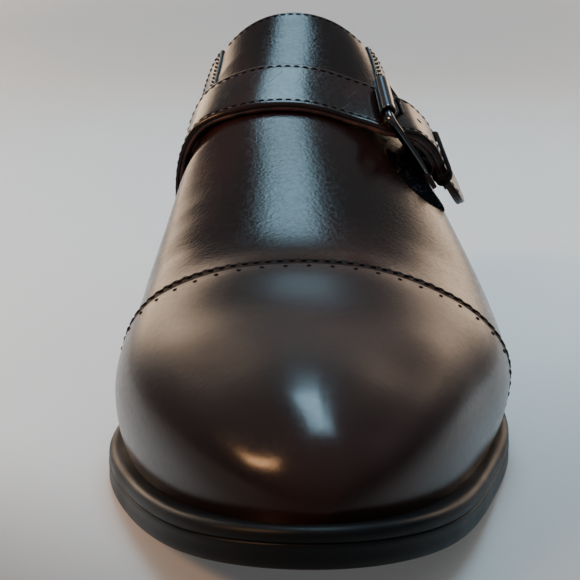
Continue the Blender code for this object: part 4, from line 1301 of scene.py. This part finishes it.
def build_strap_underlay():
    """Soft dark sheet of painted shade between the strap and the upper, where the background would show
    through.
    """
    girths = spread(*SHADE_SHEET_GIRTHS, 1.2)
    girth, share = np.meshgrid(girths, np.linspace(0.1, 0.9, 12), indexing="ij")
    top = strap_point(girth, share, -0.05)
    bottom = over_last(strap_along(girth, share), girth, 0.02)
    # the burnished leather's dark finish, here on a sheet of painted shade
    return mesh_piece("strap_shade_sheet", sheet(top, bottom), burnished_edge_and_painted_shade)


def build_strap_lining():
    """Thin lining glued under the strap, and its turned end above the tab."""
    shape = joined([lining_layer(LINING_RUN, 0.45), lining_layer(TURNED_END, 0.55)])
    return mesh_piece("strap_lining", shape, edge_leather)


def build_strap_stitches():
    """Two rows along the strap's edges, turning in toward its end, and two across where it is sewn down."""
    bars = []
    girths = np.concatenate([np.linspace(-82, 60, 500), np.linspace(60, 68.0, 60)])
    for front in (False, True):
        width = STRAP["width"](girths)
        end = np.clip((girths - TAIL_ROUND) / (TAIL_END - 1.8 - TAIL_ROUND), 0.0, 1.0)
        half = (width / 2 - STRAP_ROW) * np.sqrt(1 - end**2)
        shares = 0.5 + (half if front else -half) / width
        top = STRAP["thickness"](girths) * 0.95
        path = strap_point(girths, shares, top)
        up = unit(strap_point(girths, shares, top + 1.0) - path)
        bars.append(stitches(path, up, size("strap_stitch"), **STRAP_THREAD))
    shares = np.linspace(0.12, 0.88, 40)
    for girth in SEWN_ROWS:
        path = strap_point(girth, shares, STRAP["thickness"](girth))
        up = unit(strap_point(girth, shares, 3.0) - path)
        bars.append(stitches(path, up, 2.0, thread=0.26))
    mesh_piece("strap_stitches", joined(bars), waxed_thread)


def build_gore():
    """Elastic gusset on the vamp in front of the tab: ribs whose ragged ends fade into the leather."""
    girths = np.linspace(*GORE_GIRTHS, 220)
    shares = np.linspace(0, 1, 90)
    girth, share = np.meshgrid(girths, shares, indexing="ij")
    ragged = 1 - 0.07 * (1 + np.sin(girth * 6.1 + 0.8 * np.sin(girth * 2.3)))
    places = GORE_REAR + (GORE_FRONT(girth) - GORE_REAR) * share * GORE_REACH * ragged
    ribs = np.abs(np.sin(math.pi * places / GORE_RIB + 0.5 * np.sin(girth * 1.9)))
    weave = 0.5 + 0.5 * np.sin(girth * 7.9 + math.pi * np.floor(places / GORE_RIB))
    fade = smooth((1 - share) * 9) * smooth(np.minimum(girth - GORE_GIRTHS[0], GORE_GIRTHS[1] - girth) / 2.0)
    plain, rib, thread = GORE_RELIEF
    top = over_last(places, girth, 0.04 + (plain + rib * ribs + thread * ribs * weave) * fade)
    bottom = over_last(places, girth, -0.2)
    return mesh_piece("elastic_gore", sheet(top, bottom), ribbed_elastic, ["gore"])


# ---------------------------------------------------------------- buckle, tab and keeper


class Buckle:
    """The buckle's own axes: across it along its bars, back from roller to rear bar, and up out of it."""

    def __init__(self):
        far, near = np.array(BUCKLE_FAR), np.array(BUCKLE_NEAR)
        self.middle = (far + near) / 2
        self.width = np.linalg.norm(near - far)
        self.across = (near - far) / self.width
        down = over_last(*REAR_BAR_END) - near
        down -= self.across * (down @ self.across)
        self.back = down / np.linalg.norm(down)
        self.up = np.cross(self.across, self.back)
        if self.up[2] < 0:
            self.up = -self.up

    def point(self, across, back, up=0.0):
        return self.middle + self.across * across + self.back * back + self.up * up


def on_corner(corner, turn):
    """A place on a round corner of the frame, from its centre, its first angle and a turn in degrees."""
    across, back, start = corner
    angle = math.radians(start + turn)
    return across + FRAME_CORNER * math.cos(angle), back + FRAME_CORNER * math.sin(angle)


def build_frame(buckle):
    """Bar bent to a rectangle with round corners, bowed a little and thinner toward its rear bar."""
    wide, deep = buckle.width / 2 - FRAME_CORNER, FRAME_DEPTH - FRAME_CORNER
    corners = ((wide, FRAME_CORNER, -90), (wide, deep, 0), (-wide, deep, 90), (-wide, FRAME_CORNER, 180))
    flat = []
    for number, corner in enumerate(corners):
        flat += [on_corner(corner, turn) for turn in np.linspace(0, 90, 15)]
        here = np.array(on_corner(corner, 90))
        across, back, _ = corners[(number + 1) % 4]
        ahead = np.array(on_corner((across, back, corner[2]), 90))
        flat += [tuple((1 - share) * here + share * ahead) for share in np.linspace(0, 1, 14)[1:-1]]
    flat = np.array(flat)
    bow = FRAME_BOW * np.sin(math.pi * np.clip(flat[:, 1] / FRAME_DEPTH, 0, 1))
    path = np.array([buckle.point(across, back, up) for (across, back), up in zip(flat, bow)])
    thin = smooth(flat[:, 1] / FRAME_DEPTH * 3 - 2)
    radii = BAR_RADIUS + (REAR_BAR_RADIUS - BAR_RADIUS) * thin
    shape = ring_bar(path, buckle.up, radii, 24, closed=True)
    return mesh_piece("frame_bar", shape, gunmetal, ["buckle_frame"])


def build_roller(buckle):
    """Loose tube on the front bar, its ends rolled inward."""
    bore = BAR_RADIUS + ROLLER_PLAY
    half = ROLLER_LENGTH / 2
    profile = [(bore, -half + 0.25), (bore + 0.1, -half + 0.06), (bore + ROLLER_LIP, -half)]
    for turn in np.linspace(90, 0, 6):
        angle = math.radians(turn)
        radius = ROLLER_RADIUS - ROLLER_LIP + ROLLER_LIP * math.cos(angle)
        profile.append((radius, -half + ROLLER_LIP - ROLLER_LIP * math.sin(angle)))
    profile += [(ROLLER_RADIUS, across) for across in np.linspace(-half + 1, half - 1, 8)]
    profile += [(radius, -across) for radius, across in profile[8:2:-1]]
    profile += [(bore + ROLLER_LIP, half), (bore + 0.1, half - 0.06), (bore, half - 0.25)]
    turns = circle(64)
    ring = np.outer(np.cos(turns), buckle.up) + np.outer(np.sin(turns), buckle.back)
    loops = [buckle.point(across + ROLLER_SHIFT, 0) + radius * ring for radius, across in profile]
    return mesh_piece("front_roller", sweep(loops, closed=True), gunmetal, ["roller"])


def build_prong(buckle):
    """Wire from its eye round the rear bar, through the strap, to a rounded tip behind the roller."""
    eye = REAR_BAR_RADIUS + PRONG_GAP + PRONG_RADIUS
    path = []
    for turn in np.linspace(-170, 86, 40):
        angle = math.radians(turn)
        path.append((FRAME_DEPTH + eye * math.cos(angle), eye * math.sin(angle)))
    knots = np.array(((FRAME_DEPTH, eye),) + PRONG_LINE)
    places = np.linspace(knots[0, 0], knots[-1, 0], 40)[1:]
    ups = np.interp(-places, -knots[:, 0], knots[:, 1])
    path += list(zip(places, averaged(ups, 5)))
    path = np.array([buckle.point(0, back, up) for back, up in path])
    tip = np.clip((places - knots[-1, 0]) / 1.2, 0, 1)
    knob = 1 + 0.4 * bell(places - knots[-1, 0] - 0.9, 1.1)
    rounding = 0.3 + 0.7 * np.sqrt(1 - (1 - tip) ** 2)
    radii = np.concatenate([np.full(40, PRONG_RADIUS), knob * PRONG_RADIUS * rounding])
    shape = ring_bar(path, buckle.across, radii, 16)
    return mesh_piece("buckle_prong", shape, gunmetal, ["prong"])


def build_tab(buckle):
    """Leaf folded round the rear bar, its two ends laid together on the side of the shoe."""
    outer = REAR_BAR_RADIUS + GAP + LEAF
    turns = np.radians(np.linspace(60, 300, 41))
    loops = []
    for across in np.concatenate([[-0.5, -0.485], np.linspace(-0.46, 0.46, 12), [0.485, 0.5]]) * TAB_WIDTH:
        shrink = 0.12 * (abs(across) > TAB_WIDTH * 0.49)
        along = buckle.point(across, FRAME_DEPTH)[1]
        wrap = [(outer - shrink, turn) for turn in turns]
        loop = [buckle.point(across, FRAME_DEPTH + r * math.cos(t), r * math.sin(t)) for r, t in wrap]
        low = np.linspace(TAB_GIRTHS[0], TAB_GIRTHS[-1], 8)
        loop += list(over_last(along, low, TAB_LIFT[0] - 0.2))
        loop += list(over_last(along, low[::-1], TAB_LIFT[1] - shrink))
        loops.append(np.array(loop))
    tab = mesh_piece("tab_leaf", sweep(loops), edge_leather, ["tab"])
    front, rear, high = FRAME_DEPTH - 4, FRAME_DEPTH + 3.4, 4.0
    corners = ((front, -high), (rear, -high), (rear, high), (front, high))
    halves = (-TAB_SLOT / 2, TAB_SLOT / 2)
    cut(tab, sweep(np.array([[buckle.point(half, *corner) for corner in corners] for half in halves])))


def keeper_loop(girth, out):
    """One edge of the keeper: flat along both faces of the strap and round past its edges."""
    width = STRAP["width"](girth)
    half = width / 2 + GAP
    low = KEEPER_LIFT + KEEPER_WALL - out
    turns = np.concatenate([np.linspace(90, -90, 25), np.linspace(-90, 90, 25)])
    sides = np.repeat([1, -1], 25)
    shares = 0.5 + sides * (half + (KEEPER_ROUND + out) * np.cos(np.radians(turns))) / width
    top = STRAP["lift"](girth) + STRAP["tilt"](girth) * (shares - 0.5) + STRAP["thickness"](girth)
    lift = low + (top + GAP + out - low) * (1 + np.sin(np.radians(turns))) / 2
    corners = over_last(strap_along(girth, shares), girth, lift)
    straight = np.linspace(0, 1, 8)[1:-1, None]
    under = corners[24] + (corners[25] - corners[24]) * straight
    over = corners[-1] + (corners[0] - corners[-1]) * straight
    return np.concatenate([corners[:25], under, corners[25:], over])


def build_keeper():
    """Leather loop round the strap behind the buckle, its cut edges a little rounded."""
    first, last = KEEPER_GIRTHS
    wall = KEEPER_WALL
    section = [(first + 0.15, 0.0), (first, 0.15), (first, wall - 0.25), (first + 0.1, wall - 0.07)]
    section += [(first + 0.3, wall), (last - 0.3, wall), (last - 0.1, wall - 0.07), (last, wall - 0.25)]
    section += [(last, 0.15), (last - 0.15, 0.0)]
    loops = [keeper_loop(girth, out) for girth, out in section]
    return mesh_piece("keeper_loop", sweep(loops, closed=True), burnished_edge_and_painted_shade, ["keeper"])


# ---------------------------------------------------------------- stage

SKY = (0.47, 0.80, 1.0)
WARM = (1.0, 0.71, 0.47)
# name, place, target, roll in degrees, width, height, power, colour
LIGHTS = (
    ("top_window", (0.07, 0.31, 1.25), (0.07, 0.31, 0.0), 9, 0.42, 0.76, 10.2, SKY),
    ("far_window", (0.085, 0.89, 1.25), (0.085, 0.89, 0.0), 0, 0.35, 0.40, 0.65, SKY),
    ("left_wash", (-0.95, 1.88, 0.80), (-0.95, 2.1, 0.80), 0, 0.70, 1.0, 15.0, WARM),
    ("right_wash", (1.27, 1.88, 0.70), (1.27, 2.1, 0.70), 0, 0.74, 0.84, 10.4, WARM),
    ("side_lamp", (-1.05, -0.37, 0.84), (0.0, -0.1, 0.05), 42, 0.58, 0.26, 10.5, (1.0, 0.52, 0.24)),
)
ROOM = (0.15, 0.75, 0.12, 0.28)  # from and to, in height, and the room's strength at each
ROOM_COLOUR = (0.92, 0.96, 1.0, 1.0)
CAMERA_PLACE = (-0.019456, -0.353528, 0.1082)
CAMERA_PITCH = 0.22
CAMERA_YAW = 0.0434
CAMERA_LENS = 77.313
SENSOR = 36.0


def build_stage():
    """Pale floor that turns up into a backdrop, soft lights, and the camera."""
    half, front, back, bend, tall = 1.9, -1.4, 1.6, 0.5, 1.8
    turns = np.radians(np.linspace(0, 90, 13))
    profile = [(front, 0.0), (-0.6, 0.0), (0.0, 0.0)]
    profile += [(back + bend * math.sin(turn), bend * (1 - math.cos(turn))) for turn in turns]
    profile += [(back + bend, tall)]
    points = np.array([[(x, y, z) for x in np.linspace(-half, half, 9)] for y, z in profile])
    rows, columns = points.shape[:2]
    mesh = bpy.data.meshes.new("floor")
    mesh.from_pydata(points.reshape(-1, 3).tolist(), [], grid_faces(rows, columns, flip=True))
    mesh.shade_smooth()
    mesh.materials.append(finish_of(floor_with_painted_shade))
    floor = add_object("floor", mesh)
    for name, place, target, roll, width, height, power, colour in LIGHTS:
        lamp = bpy.data.lights.new(name, "AREA")
        lamp.shape = "RECTANGLE"
        lamp.size, lamp.size_y = width, height
        lamp.energy = power
        lamp.color = colour
        made = add_object(name, lamp)
        made.location = place
        facing = (Vector(target) - Vector(place)).to_track_quat("-Z", "Y")
        made.rotation_euler = (facing @ Quaternion((0, 0, 1), math.radians(roll))).to_euler()
    build_room()
    camera = add_object("camera", bpy.data.cameras.new("camera"))
    camera.data.lens = CAMERA_LENS
    camera.data.sensor_width = SENSOR
    camera.location = CAMERA_PLACE
    level_reach = math.cos(CAMERA_PITCH)
    aside, forward = math.sin(CAMERA_YAW) * level_reach, math.cos(CAMERA_YAW) * level_reach
    ahead = Vector((aside, forward, -math.sin(CAMERA_PITCH)))
    camera.rotation_euler = ahead.to_track_quat("-Z", "Y").to_euler()
    bpy.context.scene.camera = camera


def build_room():
    """A dim room whose ceiling is lighter than its walls."""
    room = bpy.data.worlds.new("room")
    room.use_nodes = True
    nodes = room.node_tree.nodes
    place = nodes.new("ShaderNodeTexCoord")
    axes = nodes.new("ShaderNodeSeparateXYZ")
    fade = nodes.new("ShaderNodeMapRange")
    for name, value in zip(("From Min", "From Max", "To Min", "To Max"), ROOM):
        fade.inputs[name].default_value = value
    room.node_tree.links.new(place.outputs["Generated"], axes.inputs["Vector"])
    room.node_tree.links.new(axes.outputs["Z"], fade.inputs["Value"])
    room.node_tree.links.new(fade.outputs["Result"], nodes["Background"].inputs["Strength"])
    nodes["Background"].inputs["Color"].default_value = ROOM_COLOUR
    bpy.context.scene.world = room


# ---------------------------------------------------------------- settings, operators and panel


def colour_property(name, description, default):
    return bpy.props.FloatVectorProperty(
        name=name, description=description, default=default, subtype="COLOR", size=3, min=0.0, max=1.0
    )


def length_property(name, description, default):
    return bpy.props.FloatProperty(
        name=name, description=description, default=default * MM, min=0.00001, unit="LENGTH", precision=5
    )


class ShoeSizes(bpy.types.PropertyGroup):
    """Sizes of the sewing and of the wear, which a user may change without moving a piece."""

    cap_stitch: length_property("Cap stitch", "Length of one stitch on the cap's seam", 2.8)
    topline_stitch: length_property("Topline stitch", "Length of one stitch along the opening", 2.0)
    edge_stitch: length_property("Edge stitch", "Length of one stitch at the quarters' fronts", 2.4)
    strap_stitch: length_property("Strap stitch", "Length of one stitch along the strap", 2.6)
    crease_depth: length_property("Crease depth", "Depth of the deepest crease across the vamp", 0.07)


def size(name):
    """One of the sizes that a user may change, in millimetres."""
    return getattr(bpy.context.scene.shoe_sizes, name) / MM


class ShoeColours(bpy.types.PropertyGroup):
    """Colours of the shoe's finishes and of the floor."""

    leather: colour_property("Leather", "Main colour of the upper", (0.009, 0.004, 0.0035))
    leather_dark: colour_property("Dark leather", "Darker clouds in the polish", (0.006, 0.004, 0.004))
    oxblood: colour_property("Oxblood", "Red-brown that shows through the polish", (0.030, 0.009, 0.007))
    edge: colour_property("Painted edge", "Cut edges of the strap and the tab", (0.09, 0.032, 0.025))
    lining: colour_property("Lining", "Lining and sock", (0.30, 0.19, 0.11))
    rubber: colour_property("Rubber", "Sole, bead and heel", (0.004, 0.005, 0.006))
    elastic: colour_property("Elastic", "Gusset beside the buckle", (0.0025, 0.0025, 0.003))
    thread: colour_property("Thread", "Waxed sewing thread", (0.018, 0.011, 0.010))
    metal: colour_property("Metal", "Buckle, roller and prong", (0.08, 0.082, 0.088))
    floor: colour_property("Floor", "Pale floor and backdrop", (0.86, 0.86, 0.86))


class SHOE_OT_upper(bpy.types.Operator):
    """Builds the vamp with its tongue, the toe cap, the quarters and the lining"""

    bl_idname = "shoe.upper"
    bl_label = "Upper"

    def execute(self, context):
        build_vamp()
        build_toe_cap()
        build_cap_edge()
        build_quarter("quarter_medial", -1, QUARTER_MEDIAL)
        build_quarter("quarter_lateral", 1, QUARTER_LATERAL)
        build_lining()
        return {"FINISHED"}


class SHOE_OT_sole(bpy.types.Operator):
    """Builds the sole unit, its bead, the heel and the sock"""

    bl_idname = "shoe.sole"
    bl_label = "Sole"

    def execute(self, context):
        outline = sole_outline()
        build_outsole(outline)
        build_bead(outline)
        build_heel_block(outline)
        build_sock(outline)
        return {"FINISHED"}


class SHOE_OT_stitches(bpy.types.Operator):
    """Sews the seams of the upper"""

    bl_idname = "shoe.stitches"
    bl_label = "Stitches"

    def execute(self, context):
        build_cap_stitches()
        build_upper_stitches()
        return {"FINISHED"}


class SHOE_OT_strap(bpy.types.Operator):
    """Builds the strap with its stitches, the keeper and the elastic gore"""

    bl_idname = "shoe.strap"
    bl_label = "Strap"

    def execute(self, context):
        build_strap()
        # dark sheet of painted shade under the strap
        build_strap_underlay()
        build_strap_lining()
        build_strap_stitches()
        build_keeper()
        build_gore()
        return {"FINISHED"}


class SHOE_OT_buckle(bpy.types.Operator):
    """Builds the buckle's frame, roller and prong, and the tab that holds it"""

    bl_idname = "shoe.buckle"
    bl_label = "Buckle"

    def execute(self, context):
        buckle = Buckle()
        build_frame(buckle)
        build_roller(buckle)
        build_prong(buckle)
        build_tab(buckle)
        return {"FINISHED"}


class SHOE_OT_stage(bpy.types.Operator):
    """Sets the floor, the lights and the camera"""

    bl_idname = "shoe.stage"
    bl_label = "Stage"

    def execute(self, context):
        build_stage()
        return {"FINISHED"}


class SHOE_PT_panel(bpy.types.Panel):
    """Lists the shoe's steps, sizes and colours"""

    bl_idname = "SHOE_PT_panel"
    bl_label = "Strapped dress shoe"
    bl_space_type = "VIEW_3D"
    bl_region_type = "UI"
    bl_category = "Shoe"

    def draw(self, context):
        for operator in OPERATORS:
            self.layout.operator(operator.bl_idname)
        for name in ShoeSizes.__annotations__:
            self.layout.prop(context.scene.shoe_sizes, name)
        for name in ShoeColours.__annotations__:
            self.layout.prop(context.scene.shoe_colours, name)


OPERATORS = (SHOE_OT_stage, SHOE_OT_upper, SHOE_OT_sole, SHOE_OT_stitches, SHOE_OT_strap, SHOE_OT_buckle)
CLASSES = (ShoeSizes, ShoeColours, *OPERATORS, SHOE_PT_panel)


def register():
    for item in CLASSES:
        bpy.utils.register_class(item)
    bpy.types.Scene.shoe_sizes = bpy.props.PointerProperty(type=ShoeSizes)
    bpy.types.Scene.shoe_colours = bpy.props.PointerProperty(type=ShoeColours)


def unregister():
    del bpy.types.Scene.shoe_colours
    del bpy.types.Scene.shoe_sizes
    for item in reversed(CLASSES):
        bpy.utils.unregister_class(item)


def main():
    register()
    bpy.ops.shoe.stage()
    bpy.ops.shoe.upper()
    bpy.ops.shoe.sole()
    bpy.ops.shoe.stitches()
    bpy.ops.shoe.strap()
    bpy.ops.shoe.buckle()


if __name__ == "__main__":
    main()
